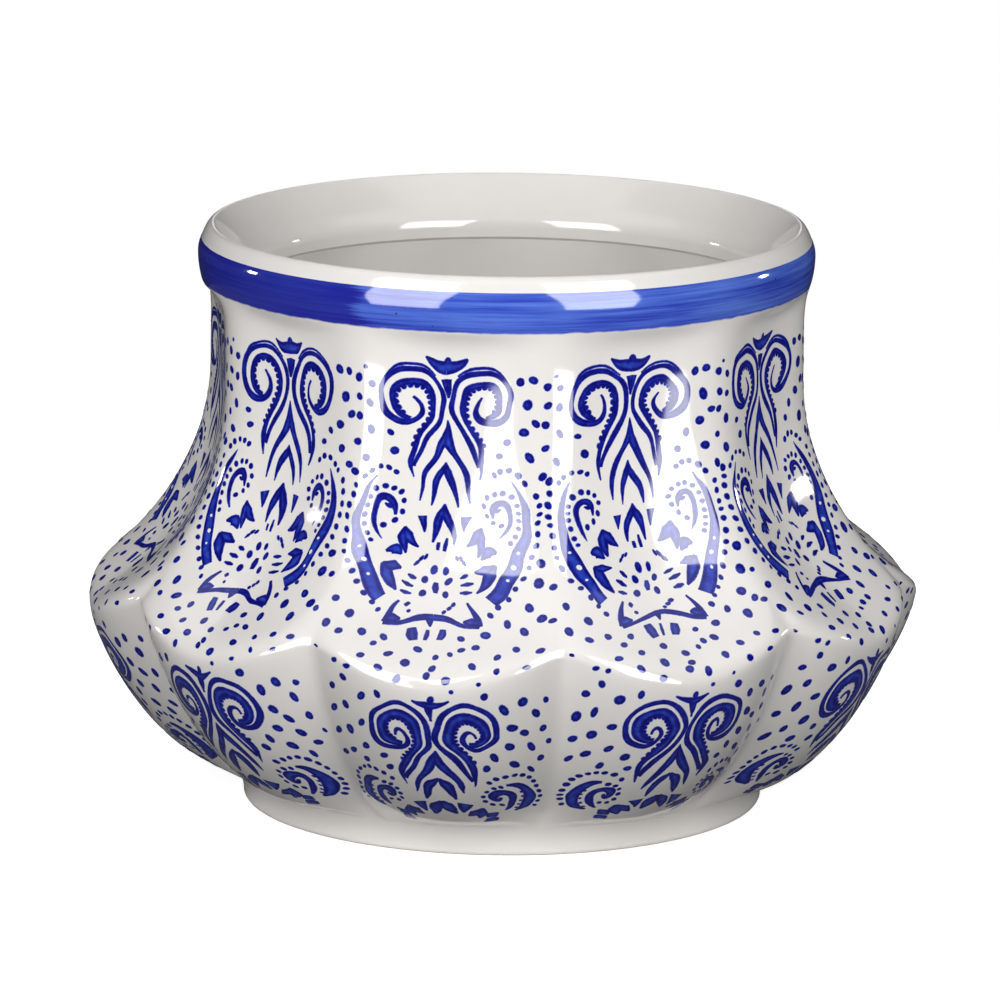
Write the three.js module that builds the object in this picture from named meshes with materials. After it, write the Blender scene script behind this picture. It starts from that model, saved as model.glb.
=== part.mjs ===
// Lobed ceramic vase: a plain round foot, ten convex petals up to the shoulder, ten scooped panels
// above it and a round collar with a rolled lip. The sections are stacked face to face on flat
// horizontal seams, where a potter lutes them. Millimetres, +Z up, origin at the centre of the
// foot's resting face, one petal centred on the -Y side.
import * as THREE from 'three';

// Counts
const PETALS = 10;
const STEPS_PER_PETAL = 8;
const STEPS = PETALS * STEPS_PER_PETAL;

// Clay wall and the gap between sections that stand side by side
const WALL = 5.5;
const GAP = 0.3;

// Foot ring: it flares from its resting edge up to the body
const FOOT_HEIGHT = 9.2;
const FOOT_RADIUS = 73.5;
const FOOT_FLARE = 3;
const FOOT_RING_WIDTH = 11.5;
const FOOT_EDGE = 1.6;

// Floor disc: a plug in the foot ring with a rim that sits on the ring
const FLOOR_SEAT = 3.7;
const FLOOR_PLUG_DEPTH = 2.5;
const FLOOR_RIM_THICKNESS = 3.5;
const FLOOR_FILLET = 1.2;

// Belly: a petal is widest at its centre, and its edges climb to a corner higher up
const BELLY_RISE = 47.8;
const BELLY_RADIUS = 117.3;
const CREST_LIFT = 9.5;
const CREST_INSET = 4.9;

// Skirt: the cove that carries the foot's flare on into each groove between two petals
const SKIRT_RISE = 6.4;
const SKIRT_REACH = 5.5;

// Shoulder and neck above the belly, up to the lower edge of the painted band
const SHOULDER_RISE = 67;
const NECK_RISE = 25;
const PANEL_WAIST_INSET = 5.4;
const RIDGE_PROUD = 3.8;

// Collar, and the lip that stands on its flat top
const COLLAR_RADIUS = 86;
const COLLAR_ROOT_INSET = 0.4;
const COLLAR_BULGE = 0.9;
const COLLAR_RISE = 11.5;
const COLLAR_ROOT_DROP = 2.5;
const LIP_RISE = 4;
const LIP_CROWN_INSET = 2.6;

// Mouth: the slope inside the lip, as the fall inward for each millimetre down, and its eased top
const MOUTH_SLOPE = 0.61;
const MOUTH_EASE = 1.6;

// Throat: a roll inside the collar, and the corbel in the body's wall that carries it
const THROAT_REACH = 3.7;
const THROAT_RISE = 9.6;
const THROAT_NOSE_DROP = 6.4;
const THROAT_EDGE = 0.8;
const CORBEL_DROP = 9;

// Flat seam between the two halves of the body, below the belly's widest line
const BODY_SEAM_DROP = 8;

// Lengths of the handles that bend each outline
const FOOT_HANDLES = [3.6, 2.4];
const PETAL_HANDLES = [25.5, 7];
const SKIRT_HANDLES = [2.6, 2.6];
const GROOVE_HANDLES = [25, 15];
const PANEL_HANDLES = [10.2, 54.2];
const RIDGE_HANDLES = [12.2, 29.4];
const PANEL_NECK_HANDLES = [20.1, 6.8];
const RIDGE_NECK_HANDLES = [14, 6];
const THROAT_HANDLES = [3.6, 2.2];

// How the section swings from a petal's centre (0) to the line between two petals (1)
const LOW_GROOVE_POWER = 1.5;
const HIGH_GROOVE_POWER = 3.2;
const GROOVE_SOFTNESS = 0.03;
const CREST_POWER = 1.6;
const CREST_SOFTNESS = 0.12;
const RIDGE_TIGHTNESS = 0.12;
const SHOULDER_BLEND = 0.15;

// The inside follows the lobes by this share, and its slope is taken over this height
const INSIDE_FOLLOWS = 0.5;
const SLOPE_SPAN = 8;

// Rings of facets in each section
const FOOT_ROWS = 4;
const LOWER_OUTER_ROWS = 10;
const LOWER_INNER_ROWS = 6;
const CREST_ROWS = 2;
const NECK_ROWS = 12;
const UPPER_INNER_ROWS = 9;
const COLLAR_ROWS = 4;
const LIP_ARC_STEPS = 3;
const THROAT_ROWS = 5;
const LOW_ROW_SPREAD = 1.5;
const NECK_ROW_SPREAD = 1.3;

// Times that a stretch of outline is halved to find a height on it
const HALVINGS = 30;

// Heights that follow from the sizes above
const BELLY_Z = FOOT_HEIGHT + BELLY_RISE;
const CREST_Z = BELLY_Z + CREST_LIFT;
const WAIST_Z = BELLY_Z + SHOULDER_RISE;
const COLLAR_Z = WAIST_Z + NECK_RISE;
const SEAM_Z = BELLY_Z - BODY_SEAM_DROP;
const COLLAR_SEAM_Z = COLLAR_Z - COLLAR_ROOT_DROP;
const COLLAR_TOP_Z = COLLAR_Z + COLLAR_RISE;
const THROAT_TOP_Z = COLLAR_SEAM_Z + THROAT_RISE;

// Radii that follow from the sizes above
const FOOT_TOP_RADIUS = FOOT_RADIUS + FOOT_FLARE;
const FOOT_BORE_RADIUS = FOOT_RADIUS - FOOT_RING_WIDTH;
const FLOOR_RADIUS = FOOT_BORE_RADIUS + FLOOR_SEAT;
const CREST_RADIUS = BELLY_RADIUS - CREST_INSET;
const COLLAR_ROOT_RADIUS = COLLAR_RADIUS - COLLAR_ROOT_INSET;
const PANEL_WAIST_RADIUS = COLLAR_RADIUS - PANEL_WAIST_INSET;
const RIDGE_WAIST_RADIUS = PANEL_WAIST_RADIUS + RIDGE_PROUD;
const LIP_CROWN_RADIUS = COLLAR_RADIUS - LIP_CROWN_INSET;
const MOUTH_TURN = Math.PI / 2 - Math.atan(MOUTH_SLOPE);
const EASED_RADIUS = LIP_CROWN_RADIUS - MOUTH_EASE * Math.sin(MOUTH_TURN);
const EASED_DROP = MOUTH_EASE * (1 - Math.cos(MOUTH_TURN));
const MOUTH_RADIUS = EASED_RADIUS - (LIP_RISE - EASED_DROP) * MOUTH_SLOPE;
const COLLAR_BORE_RADIUS = MOUTH_RADIUS - (COLLAR_TOP_Z - THROAT_TOP_Z) * MOUTH_SLOPE;
const THROAT_OUTER_RADIUS = COLLAR_BORE_RADIUS - GAP;
const THROAT_RADIUS = THROAT_OUTER_RADIUS - THROAT_REACH;

const point = (radius, height) => new THREE.Vector2(radius, height);
const level = (height) => () => height;
const round = (radius) => () => radius;
const { lerp, smoothstep } = THREE.MathUtils;

// Directions in which the outlines leave and meet their ends, as (outward, up)
const UP = point(0, 1);
const FOOT_SLOPE = point(0.7, 1);
const PETAL_SLOPE = point(1, 0.2);
const SKIRT_SLOPE = point(1, 0.9);
const CREST_SLOPE = point(0.25, 1);
const CREST_FALL = point(-1, 1);
const PANEL_FLARE = point(1, 1);
const RIDGE_FLARE = point(0.3, 1);
const THROAT_FALL = point(-0.85, -1);
const DOWN = point(0, -1);

/** One bent stretch of an outline between two points, from its end directions and handle lengths. */
function bend(start, startDirection, end, endDirection, handles) {
  const first = start.clone().addScaledVector(startDirection.clone().normalize(), handles[0]);
  const second = end.clone().addScaledVector(endDirection.clone().normalize(), -handles[1]);
  return new THREE.CubicBezierCurve(start, first, second, end);
}

const footTop = point(FOOT_TOP_RADIUS, FOOT_HEIGHT);
const skirtTop = point(FOOT_TOP_RADIUS + SKIRT_REACH, FOOT_HEIGHT + SKIRT_RISE);
const bellyPoint = point(BELLY_RADIUS, BELLY_Z);
const crestPoint = point(CREST_RADIUS, CREST_Z);
const panelWaist = point(PANEL_WAIST_RADIUS, WAIST_Z);
const ridgeWaist = point(RIDGE_WAIST_RADIUS, WAIST_Z);
const collarRoot = point(COLLAR_ROOT_RADIUS, COLLAR_Z);

// Outlines through a petal's centre, a groove, a panel's centre and a ridge, each from low to high
const PETAL_OUTLINE = [bend(footTop, PETAL_SLOPE, bellyPoint, UP, PETAL_HANDLES)];
const GROOVE_OUTLINE = [
  bend(footTop, FOOT_SLOPE, skirtTop, SKIRT_SLOPE, SKIRT_HANDLES),
  bend(skirtTop, SKIRT_SLOPE, crestPoint, CREST_SLOPE, GROOVE_HANDLES),
];
const PANEL_OUTLINE = [
  bend(bellyPoint, UP, panelWaist, UP, PANEL_HANDLES),
  bend(panelWaist, UP, collarRoot, PANEL_FLARE, PANEL_NECK_HANDLES),
];
const RIDGE_OUTLINE = [
  bend(crestPoint, CREST_FALL, ridgeWaist, UP, RIDGE_HANDLES),
  bend(ridgeWaist, UP, collarRoot, RIDGE_FLARE, RIDGE_NECK_HANDLES),
];

/** Radius of an outline at a height, found by halving the stretch that holds the height. */
function radiusAt(outline, height) {
  const stretch = outline.find((piece) => height <= piece.v3.y) ?? outline[outline.length - 1];
  let low = 0;
  let high = 1;
  for (let halving = 0; halving < HALVINGS; halving += 1) {
    const middle = (low + high) / 2;
    if (stretch.getPoint(middle).y < height) {
      low = middle;
    } else {
      high = middle;
    }
  }
  return stretch.getPoint((low + high) / 2).x;
}

/** Nearness to the line between two petals: 0 at a petal's centre, 1 on the line, its peak softened. */
function nearness(share, softness) {
  const away = Math.hypot(1 - Math.abs(share), softness) - softness;
  return 1 - away / (Math.hypot(1, softness) - softness);
}

/** Share of the groove's outline in the section of a petal, sharper towards the crest. */
function grooveShare(share, climb) {
  return nearness(share, GROOVE_SOFTNESS) ** lerp(LOW_GROOVE_POWER, HIGH_GROOVE_POWER, climb);
}

/** Share of the ridge's outline in the section of a panel: a scoop with a round ridge each side. */
function ridgeShare(share) {
  const wave = (1 - Math.cos(Math.PI * share)) / 2;
  const tighter = (1 - Math.cos(2 * Math.PI * share)) / 2;
  return wave - RIDGE_TIGHTNESS * tighter;
}

/** Height of the crest between petal and panel at a share of a petal. */
function crestHeight(share) {
  return BELLY_Z + CREST_LIFT * nearness(share, CREST_SOFTNESS) ** CREST_POWER;
}

/** Outer radius of the body at a share of a petal (-1 to 1) and a height. */
function outerRadius(share, height) {
  const crest = crestHeight(share);
  if (height <= crest) {
    const climb = (height - FOOT_HEIGHT) / (crest - FOOT_HEIGHT);
    const petal = radiusAt(PETAL_OUTLINE, lerp(FOOT_HEIGHT, BELLY_Z, climb));
    const groove = radiusAt(GROOVE_OUTLINE, lerp(FOOT_HEIGHT, CREST_Z, climb));
    return lerp(petal, groove, grooveShare(share, climb));
  }
  const climb = (height - crest) / (COLLAR_Z - crest);
  const panel = radiusAt(PANEL_OUTLINE, lerp(BELLY_Z, COLLAR_Z, climb));
  const ridge = radiusAt(RIDGE_OUTLINE, lerp(CREST_Z, COLLAR_Z, climb));
  const blend = smoothstep(climb, 0, SHOULDER_BLEND);
  return lerp(panel, ridge, lerp(grooveShare(share, 1), ridgeShare(share), blend));
}

/** Least outer radius of the body at a height, in the middle of a petal or on its edge. */
function slimmestRadius(height) {
  return Math.min(outerRadius(0, height), outerRadius(1, height));
}

/** Inner radius of the body: the wall's thickness in from the outside, its lobes softened. */
function innerRadius(share, height) {
  const rise = slimmestRadius(height + SLOPE_SPAN / 2) - slimmestRadius(height - SLOPE_SPAN / 2);
  const slant = Math.hypot(1, rise / SLOPE_SPAN);
  const follow = INSIDE_FOLLOWS * smoothstep(height, FOOT_HEIGHT, BELLY_Z);
  const softened = lerp(slimmestRadius(height), outerRadius(share, height), follow);
  return Math.max(softened - WALL * slant, FLOOR_RADIUS + GAP);
}

/** Radius of the collar's outside above its root: a slight swell between its two edges. */
function collarRadius(share, height) {
  const climb = (height - COLLAR_Z) / COLLAR_RISE;
  const chord = lerp(COLLAR_ROOT_RADIUS, COLLAR_RADIUS, climb);
  return chord + COLLAR_BULGE * Math.sin(Math.PI * climb);
}

/** Share of a petal at a turn about the axis, from -1 to 1 across each petal. */
function petalShare(step) {
  const within = (step + STEPS_PER_PETAL / 2) % STEPS_PER_PETAL;
  return (2 * within) / STEPS_PER_PETAL - 1;
}

/**
 * Rings in so many rows from one height to another, either of which may change with the share.
 * They crowd towards the first height when spread is over 1.
 */
function ringsBetween(from, to, rows, spread, radius) {
  return Array.from({ length: rows + 1 }, (_, row) => ({
    height: (share) => lerp(from(share), to(share), (row / rows) ** spread),
    radius,
  }));
}

/** Closed wall that passes through a loop of rings, up the outside and down the inside. */
function wallThrough(rings) {
  const positions = [];
  for (const ring of rings) {
    for (let step = 0; step < STEPS; step += 1) {
      const turn = (2 * Math.PI * step) / STEPS;
      const share = petalShare(step);
      const height = ring.height(share);
      const radius = ring.radius(share, height);
      positions.push(radius * Math.sin(turn), -radius * Math.cos(turn), height);
    }
  }
  const faces = [];
  for (let ring = 0; ring < rings.length; ring += 1) {
    const above = (ring + 1) % rings.length;
    for (let step = 0; step < STEPS; step += 1) {
      const beside = (step + 1) % STEPS;
      const a = ring * STEPS + step;
      const b = ring * STEPS + beside;
      const c = above * STEPS + beside;
      const d = above * STEPS + step;
      faces.push(a, b, c, a, c, d);
    }
  }
  const geometry = new THREE.BufferGeometry();
  geometry.setAttribute('position', new THREE.Float32BufferAttribute(positions, 3));
  geometry.setIndex(faces);
  return geometry;
}

/** Solid turned about the vertical axis from a profile of radius and height points. */
function turned(profile) {
  return new THREE.LatheGeometry(profile, STEPS).rotateX(Math.PI / 2);
}

/** Foot ring: flat resting face with eased edges, flared outside, flat top that carries the body. */
function footRing() {
  const eased = FOOT_EDGE * (1 - Math.SQRT1_2);
  const flare = bend(point(FOOT_RADIUS, FOOT_EDGE), UP, footTop, FOOT_SLOPE, FOOT_HANDLES);
  return turned([
    point(FOOT_BORE_RADIUS + FOOT_EDGE, 0),
    point(FOOT_RADIUS - FOOT_EDGE, 0),
    point(FOOT_RADIUS - eased, eased),
    ...flare.getPoints(FOOT_ROWS),
    point(FOOT_BORE_RADIUS, FOOT_HEIGHT),
    point(FOOT_BORE_RADIUS, FOOT_EDGE),
    point(FOOT_BORE_RADIUS + eased, eased),
    point(FOOT_BORE_RADIUS + FOOT_EDGE, 0),
  ]);
}

/** Floor disc: a plug inside the foot ring under a wider rim that rests on the ring's top. */
function floorDisc() {
  const underside = FOOT_HEIGHT - FLOOR_PLUG_DEPTH;
  const top = FOOT_HEIGHT + FLOOR_RIM_THICKNESS;
  return turned([
    point(0, underside),
    point(FOOT_BORE_RADIUS - GAP, underside),
    point(FOOT_BORE_RADIUS - GAP, FOOT_HEIGHT),
    point(FLOOR_RADIUS, FOOT_HEIGHT),
    point(FLOOR_RADIUS, top - FLOOR_FILLET),
    point(FLOOR_RADIUS - FLOOR_FILLET, top),
    point(0, top),
  ]);
}

/** Lower half of the body: the petals and the grooves between them. */
function lowerBody() {
  const foot = level(FOOT_HEIGHT);
  const seam = level(SEAM_Z);
  return wallThrough([
    ...ringsBetween(foot, seam, LOWER_OUTER_ROWS, LOW_ROW_SPREAD, outerRadius),
    ...ringsBetween(foot, seam, LOWER_INNER_ROWS, 1, innerRadius).reverse(),
  ]);
}

/** Upper half of the body: the petals' crest, the scooped panels and the ridges between them. */
function upperBody() {
  const seam = level(SEAM_Z);
  const top = level(COLLAR_SEAM_Z);
  const crest = ringsBetween(seam, crestHeight, CREST_ROWS, 1, outerRadius);
  const neck = ringsBetween(crestHeight, top, NECK_ROWS, NECK_ROW_SPREAD, outerRadius);
  const inside = ringsBetween(seam, level(COLLAR_SEAM_Z - CORBEL_DROP), UPPER_INNER_ROWS, 1, innerRadius);
  const corbel = { height: top, radius: round(THROAT_RADIUS + THROAT_EDGE) };
  return wallThrough([...crest, ...neck.slice(1), corbel, ...inside.reverse()]);
}

/** Collar: its root still follows the panels, and above the root it is round. */
function collarBand() {
  return wallThrough([
    { height: level(COLLAR_SEAM_Z), radius: outerRadius },
    ...ringsBetween(level(COLLAR_Z), level(COLLAR_TOP_Z), COLLAR_ROWS, 1, collarRadius),
    { height: level(COLLAR_TOP_Z), radius: round(MOUTH_RADIUS) },
    { height: level(THROAT_TOP_Z), radius: round(COLLAR_BORE_RADIUS) },
    { height: level(COLLAR_SEAM_Z), radius: round(COLLAR_BORE_RADIUS) },
  ]);
}

/** Throat roll: it slopes in from the mouth to a round nose, and rests on the body's top face. */
function throatRing() {
  const top = point(THROAT_OUTER_RADIUS, THROAT_TOP_Z);
  const nose = point(THROAT_RADIUS, THROAT_TOP_Z - THROAT_NOSE_DROP);
  return turned([
    point(THROAT_OUTER_RADIUS, COLLAR_SEAM_Z),
    ...bend(top, THROAT_FALL, nose, DOWN, THROAT_HANDLES).getPoints(THROAT_ROWS),
    point(THROAT_RADIUS, COLLAR_SEAM_Z + THROAT_EDGE),
    point(THROAT_RADIUS + THROAT_EDGE, COLLAR_SEAM_Z),
    point(THROAT_OUTER_RADIUS, COLLAR_SEAM_Z),
  ]);
}

/** Lip: round outside, with a crown near the outside and an eased slope down into the mouth. */
function lipRing() {
  const crown = COLLAR_TOP_Z + LIP_RISE;
  const profile = [];
  for (let step = 0; step <= LIP_ARC_STEPS; step += 1) {
    const turn = (Math.PI / 2) * (step / LIP_ARC_STEPS);
    const radius = LIP_CROWN_RADIUS + LIP_CROWN_INSET * Math.cos(turn);
    profile.push(point(radius, COLLAR_TOP_Z + LIP_RISE * Math.sin(turn)));
  }
  const half = MOUTH_TURN / 2;
  profile.push(
    point(LIP_CROWN_RADIUS - MOUTH_EASE * Math.sin(half), crown - MOUTH_EASE * (1 - Math.cos(half))),
    point(EASED_RADIUS, crown - EASED_DROP),
    point(MOUTH_RADIUS, COLLAR_TOP_Z),
    profile[0].clone(),
  );
  return turned(profile);
}

/** Clear gloss glaze over a warm grey-white body. */
function whiteGlaze() {
  return new THREE.MeshStandardMaterial({ color: 0xe6e3df, roughness: 0.12, metalness: 0 });
}

/** Cobalt blue brushed under the same clear glaze. */
function cobaltGlaze() {
  return new THREE.MeshStandardMaterial({ color: 0x3442ad, roughness: 0.12, metalness: 0 });
}

/** Adds one named section to the vase. */
function addSection(vase, name, geometry, material) {
  const section = new THREE.Mesh(geometry, material);
  section.name = name;
  vase.add(section);
}

const vase = new THREE.Group();
addSection(vase, 'foot_ring', footRing(), whiteGlaze());
addSection(vase, 'floor_disc', floorDisc(), whiteGlaze());
addSection(vase, 'lower_body', lowerBody(), whiteGlaze());
addSection(vase, 'upper_body', upperBody(), whiteGlaze());
addSection(vase, 'throat_ring', throatRing(), whiteGlaze());
addSection(vase, 'collar_band', collarBand(), cobaltGlaze());
addSection(vase, 'lip_ring', lipRing(), whiteGlaze());

export default vase;
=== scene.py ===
"""Lobed blue-and-white ceramic vase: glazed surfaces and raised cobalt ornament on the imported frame."""

import logging
import math
from collections.abc import Callable
from dataclasses import dataclass, field
from enum import Enum

import bmesh
import bpy
import numpy as np
from mathutils import Euler, Matrix, Vector


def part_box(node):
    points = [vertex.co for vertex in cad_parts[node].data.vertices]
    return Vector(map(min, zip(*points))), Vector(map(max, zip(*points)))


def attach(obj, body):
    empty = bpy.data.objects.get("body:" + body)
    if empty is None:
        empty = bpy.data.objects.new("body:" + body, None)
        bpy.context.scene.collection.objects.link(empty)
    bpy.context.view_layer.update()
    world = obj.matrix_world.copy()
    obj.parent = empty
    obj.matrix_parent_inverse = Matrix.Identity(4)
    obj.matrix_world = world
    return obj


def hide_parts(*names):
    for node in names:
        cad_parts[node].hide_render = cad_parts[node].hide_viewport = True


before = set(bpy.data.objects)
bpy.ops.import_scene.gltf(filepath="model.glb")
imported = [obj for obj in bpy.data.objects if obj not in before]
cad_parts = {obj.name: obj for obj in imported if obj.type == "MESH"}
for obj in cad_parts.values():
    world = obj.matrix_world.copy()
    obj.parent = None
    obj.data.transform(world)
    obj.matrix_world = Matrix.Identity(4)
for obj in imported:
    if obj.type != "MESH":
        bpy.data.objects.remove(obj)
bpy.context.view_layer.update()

LOG = logging.getLogger("vase")
MM = 0.001
BODY = "root"
PETALS = 10
PETAL_ANGLE = 2 * math.pi / PETALS

# The photograph's frame and the turn from the petal on the -Y side to the camera's side
PHOTO_PIXELS = 1000
CAMERA_TURN = math.radians(9.6)

# Edges that turn by more than this are shaded as edges
SHARP_EDGE = math.radians(25)

# How near the axis a wall's end counts as on it, and how near its copies there are merged, in mm
ON_AXIS = 1e-6
MERGE_REACH = 1e-4

# A pair of sizes, a height by share of a petal, and a radius by share and height
Pair = tuple[float, float]
HeightAt = Callable[[np.ndarray | float], np.ndarray]
RadiusAt = Callable[[np.ndarray | float, np.ndarray | float], np.ndarray]


def linear(code: str) -> tuple[float, float, float, float]:
    """Turns an sRGB hex colour to linear light.

    Args:
        code: Six hex digits, such as "e6e3df".

    Returns:
        Red, green, blue and an alpha of 1.
    """
    parts = [int(code[i:i + 2], 16) / 255 for i in (0, 2, 4)]
    light = [c / 12.92 if c <= 0.04045 else ((c + 0.055) / 1.055) ** 2.4 for c in parts]
    return (*light, 1.0)


def mix(low: np.ndarray | float, high: np.ndarray | float, share: np.ndarray | float) -> np.ndarray:
    """Returns the value at a share of the way from low to high."""
    return low + (high - low) * share


def smooth_step(value: np.ndarray | float, low: float, high: float) -> np.ndarray:
    """Returns 0 below low, 1 above high and a smooth climb between."""
    share = np.clip((value - low) / (high - low), 0, 1)
    return share * share * (3 - 2 * share)


def way_along(points: np.ndarray) -> np.ndarray:
    """Returns how far along a line of points each of them lies."""
    return np.concatenate([[0], np.cumsum(np.hypot(*np.diff(points, axis=0).T))])


def petal_share(turn: np.ndarray | float) -> np.ndarray:
    """Returns the share of a petal, -1 to 1, at turns from -Y towards +X in radians."""
    return (np.asarray(turn, float) / (PETAL_ANGLE / 2) + 1) % 2 - 1


def round_axis(radius: np.ndarray, turn: np.ndarray, height: np.ndarray) -> np.ndarray:
    """Returns points at radii, turns from -Y towards +X and heights."""
    return np.stack([radius * np.sin(turn), -radius * np.cos(turn), height + 0 * radius], axis=-1)


def measured(node: str, end: int, axis: int) -> float:
    """Returns a field that holds one end of a CAD node's box along an axis, in mm."""
    return field(default_factory=lambda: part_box(node)[end][axis] / MM)


def top_of(node: str) -> float:
    """Returns a field that holds the height of a CAD node's top in mm."""
    return measured(node, 1, 2)


def base_of(node: str) -> float:
    """Returns a field that holds the height of a CAD node's lowest point in mm."""
    return measured(node, 0, 2)


def radius_of(node: str) -> float:
    """Returns a field that holds half the width of a CAD node along Y in mm."""
    return measured(node, 1, 1)


@dataclass(frozen=True)
class Bend:
    """One bent stretch of an outline in mm, as (radius, height)."""

    start: Pair
    leaves: Pair
    end: Pair
    meets: Pair
    handles: Pair
    samples: int = 240

    def points(self) -> np.ndarray:
        """Works out the stretch.

        Returns:
            Points along it, from its low end to its high end.
        """
        ends = (self.start, self.leaves, self.end, self.meets)
        start, leaves, end, meets = (np.array(value, float) for value in ends)
        first = start + leaves / np.linalg.norm(leaves) * self.handles[0]
        second = end - meets / np.linalg.norm(meets) * self.handles[1]
        t = np.linspace(0, 1, self.samples)[:, None]
        return ((1 - t) ** 3 * start + 3 * t * (1 - t) ** 2 * first + 3 * t * t * (1 - t) * second
                + t ** 3 * end)


class Outline:
    """An outline of the vase from low to high, made of bent stretches."""

    def __init__(self, *bends: Bend) -> None:
        """Joins the stretches, each of which starts where the last ends."""
        self.points = np.concatenate([bends[0].points()] + [bend.points()[1:] for bend in bends[1:]])

    def radius(self, height: np.ndarray | float) -> np.ndarray:
        """Returns the radius at a height."""
        return np.interp(height, self.points[:, 1], self.points[:, 0])


@dataclass
class VaseForm:
    """The vase's surfaces in mm, by share of a petal (-1 to 1) and height."""

    # Read from the frame
    foot_top_radius: float = radius_of("foot_ring")
    foot_height: float = top_of("foot_ring")
    belly_radius: float = radius_of("upper_body")
    seam_height: float = top_of("lower_body")
    collar_seam: float = top_of("upper_body")
    collar_top: float = top_of("collar_band")
    lip_top: float = top_of("lip_ring")
    collar_radius: float = radius_of("lip_ring")
    throat_top: float = top_of("throat_ring")
    floor_top: float = top_of("floor_disc")
    floor_base: float = base_of("floor_disc")
    floor_radius: float = radius_of("floor_disc")

    # Foot, floor and wall
    foot_flare: float = 3.0
    foot_edge: float = 1.6
    foot_ring_width: float = 11.5
    floor_gap: float = 0.3
    floor_fillet: float = 1.2
    wall: float = 5.5
    slope_span: float = 8.0
    inside_follows: float = 0.5

    # Bowl and neck
    belly_rise: float = 47.8
    crest_lift: float = 9.5
    crest_inset: float = 4.9
    skirt_rise: float = 6.4
    skirt_reach: float = 5.5
    shoulder_rise: float = 67.0
    neck_rise: float = 25.0
    waist_inset: float = 5.4
    ridge_proud: float = 3.8

    # Collar, lip and throat
    collar_root_inset: float = 0.4
    collar_swell: float = 1.09
    collar_fall: float = 1.0
    collar_widest: float = 0.66
    lip_crown_inset: float = 3.3
    mouth_slope: float = 0.61
    mouth_ease: float = 0.9
    throat_reach: float = 3.7
    throat_nose_drop: float = 6.4
    throat_edge: float = 0.8
    corbel_drop: float = 9.0

    # How far each bent stretch runs straight on from its two ends
    foot_handles: Pair = (3.6, 2.4)
    petal_handles: Pair = (25.5, 7)
    skirt_handles: Pair = (2.6, 2.6)
    groove_handles: Pair = (25, 15)
    panel_handles: Pair = (10.2, 54.2)
    panel_neck_handles: Pair = (20.1, 6.8)
    ridge_handles: Pair = (12.2, 29.4)
    ridge_neck_handles: Pair = (14, 6)

    # How sharp the lobes' sections are, and how widely the glaze rounds the crest
    low_groove_power: float = 1.5
    high_groove_power: float = 3.2
    groove_softness: float = 0.03
    crest_power: float = 1.6
    crest_softness: float = 0.12
    ridge_tightness: float = 0.12
    shoulder_blend: float = 0.15
    fine_reach: float = 0.35
    crest_reach: float = 1.8
    crest_fade: Pair = (2.0, 9.0)

    def __post_init__(self) -> None:
        """Works out the heights, radii and outlines that follow from the sizes."""
        self.belly_height = self.foot_height + self.belly_rise
        self.crest_height = self.belly_height + self.crest_lift
        self.waist_height = self.belly_height + self.shoulder_rise
        self.collar_height = self.waist_height + self.neck_rise
        self.crown_radius = self.collar_radius - self.lip_crown_inset
        self.mouth_turn = math.pi / 2 - math.atan(self.mouth_slope)
        eased_radius = self.crown_radius - self.mouth_ease * math.sin(self.mouth_turn)
        eased_top = self.lip_top - self.mouth_ease * (1 - math.cos(self.mouth_turn))
        self.mouth_radius = eased_radius - (eased_top - self.collar_top) * self.mouth_slope
        self.bore_radius = self.mouth_radius - (self.collar_top - self.throat_top) * self.mouth_slope
        self.throat_radius = self.bore_radius - self.throat_reach
        self.foot_radius = self.foot_top_radius - self.foot_flare
        self.foot_bore = self.foot_radius - self.foot_ring_width
        self.draw_outlines()
        self.centre = np.concatenate([self.petal.points, self.panel.points[1:]])
        self.centre_way = way_along(self.centre) - way_along(self.petal.points)[-1]

    def draw_outlines(self) -> None:
        """Draws the foot, and the body's outline along a petal, a groove, a panel and a ridge."""
        foot = (self.foot_top_radius, self.foot_height)
        skirt = (self.foot_top_radius + self.skirt_reach, self.foot_height + self.skirt_rise)
        belly = (self.belly_radius, self.belly_height)
        crest = (self.belly_radius - self.crest_inset, self.crest_height)
        waist = (self.collar_radius - self.waist_inset, self.waist_height)
        ridge_waist = (waist[0] + self.ridge_proud, self.waist_height)
        root = (self.collar_radius - self.collar_root_inset, self.collar_height)
        up, flare, cove, shallow, steep = (0, 1), (0.7, 1), (1, 0.9), (1, 0.2), (0.25, 1)
        out, inward, upright = (1, 1), (-1, 1), (0.3, 1)
        edge = (self.foot_radius, self.foot_edge)
        self.foot = Outline(Bend(edge, up, foot, flare, self.foot_handles))
        self.petal = Outline(Bend(foot, shallow, belly, up, self.petal_handles))
        self.groove = Outline(
            Bend(foot, flare, skirt, cove, self.skirt_handles),
            Bend(skirt, cove, crest, steep, self.groove_handles),
        )
        self.panel = Outline(
            Bend(belly, up, waist, up, self.panel_handles),
            Bend(waist, up, root, out, self.panel_neck_handles),
        )
        self.ridge = Outline(
            Bend(crest, inward, ridge_waist, up, self.ridge_handles),
            Bend(ridge_waist, up, root, upright, self.ridge_neck_handles),
        )

    @staticmethod
    def nearness(share: np.ndarray, softness: float) -> np.ndarray:
        """Returns 0 at a petal's centre and 1 on the line between two petals, its peak softened."""
        away = np.hypot(1 - np.abs(share), softness) - softness
        return 1 - away / (math.hypot(1, softness) - softness)

    def groove_share(self, share: np.ndarray, climb: np.ndarray | float) -> np.ndarray:
        """Returns the share of the groove's outline in the section of a petal, sharper towards the crest."""
        power = mix(self.low_groove_power, self.high_groove_power, climb)
        return self.nearness(share, self.groove_softness) ** power

    def ridge_share(self, share: np.ndarray) -> np.ndarray:
        """Returns the share of the ridge's outline in the section of a scooped panel."""
        wave = (1 - np.cos(math.pi * share)) / 2
        tighter = (1 - np.cos(2 * math.pi * share)) / 2
        return wave - self.ridge_tightness * tighter

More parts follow.
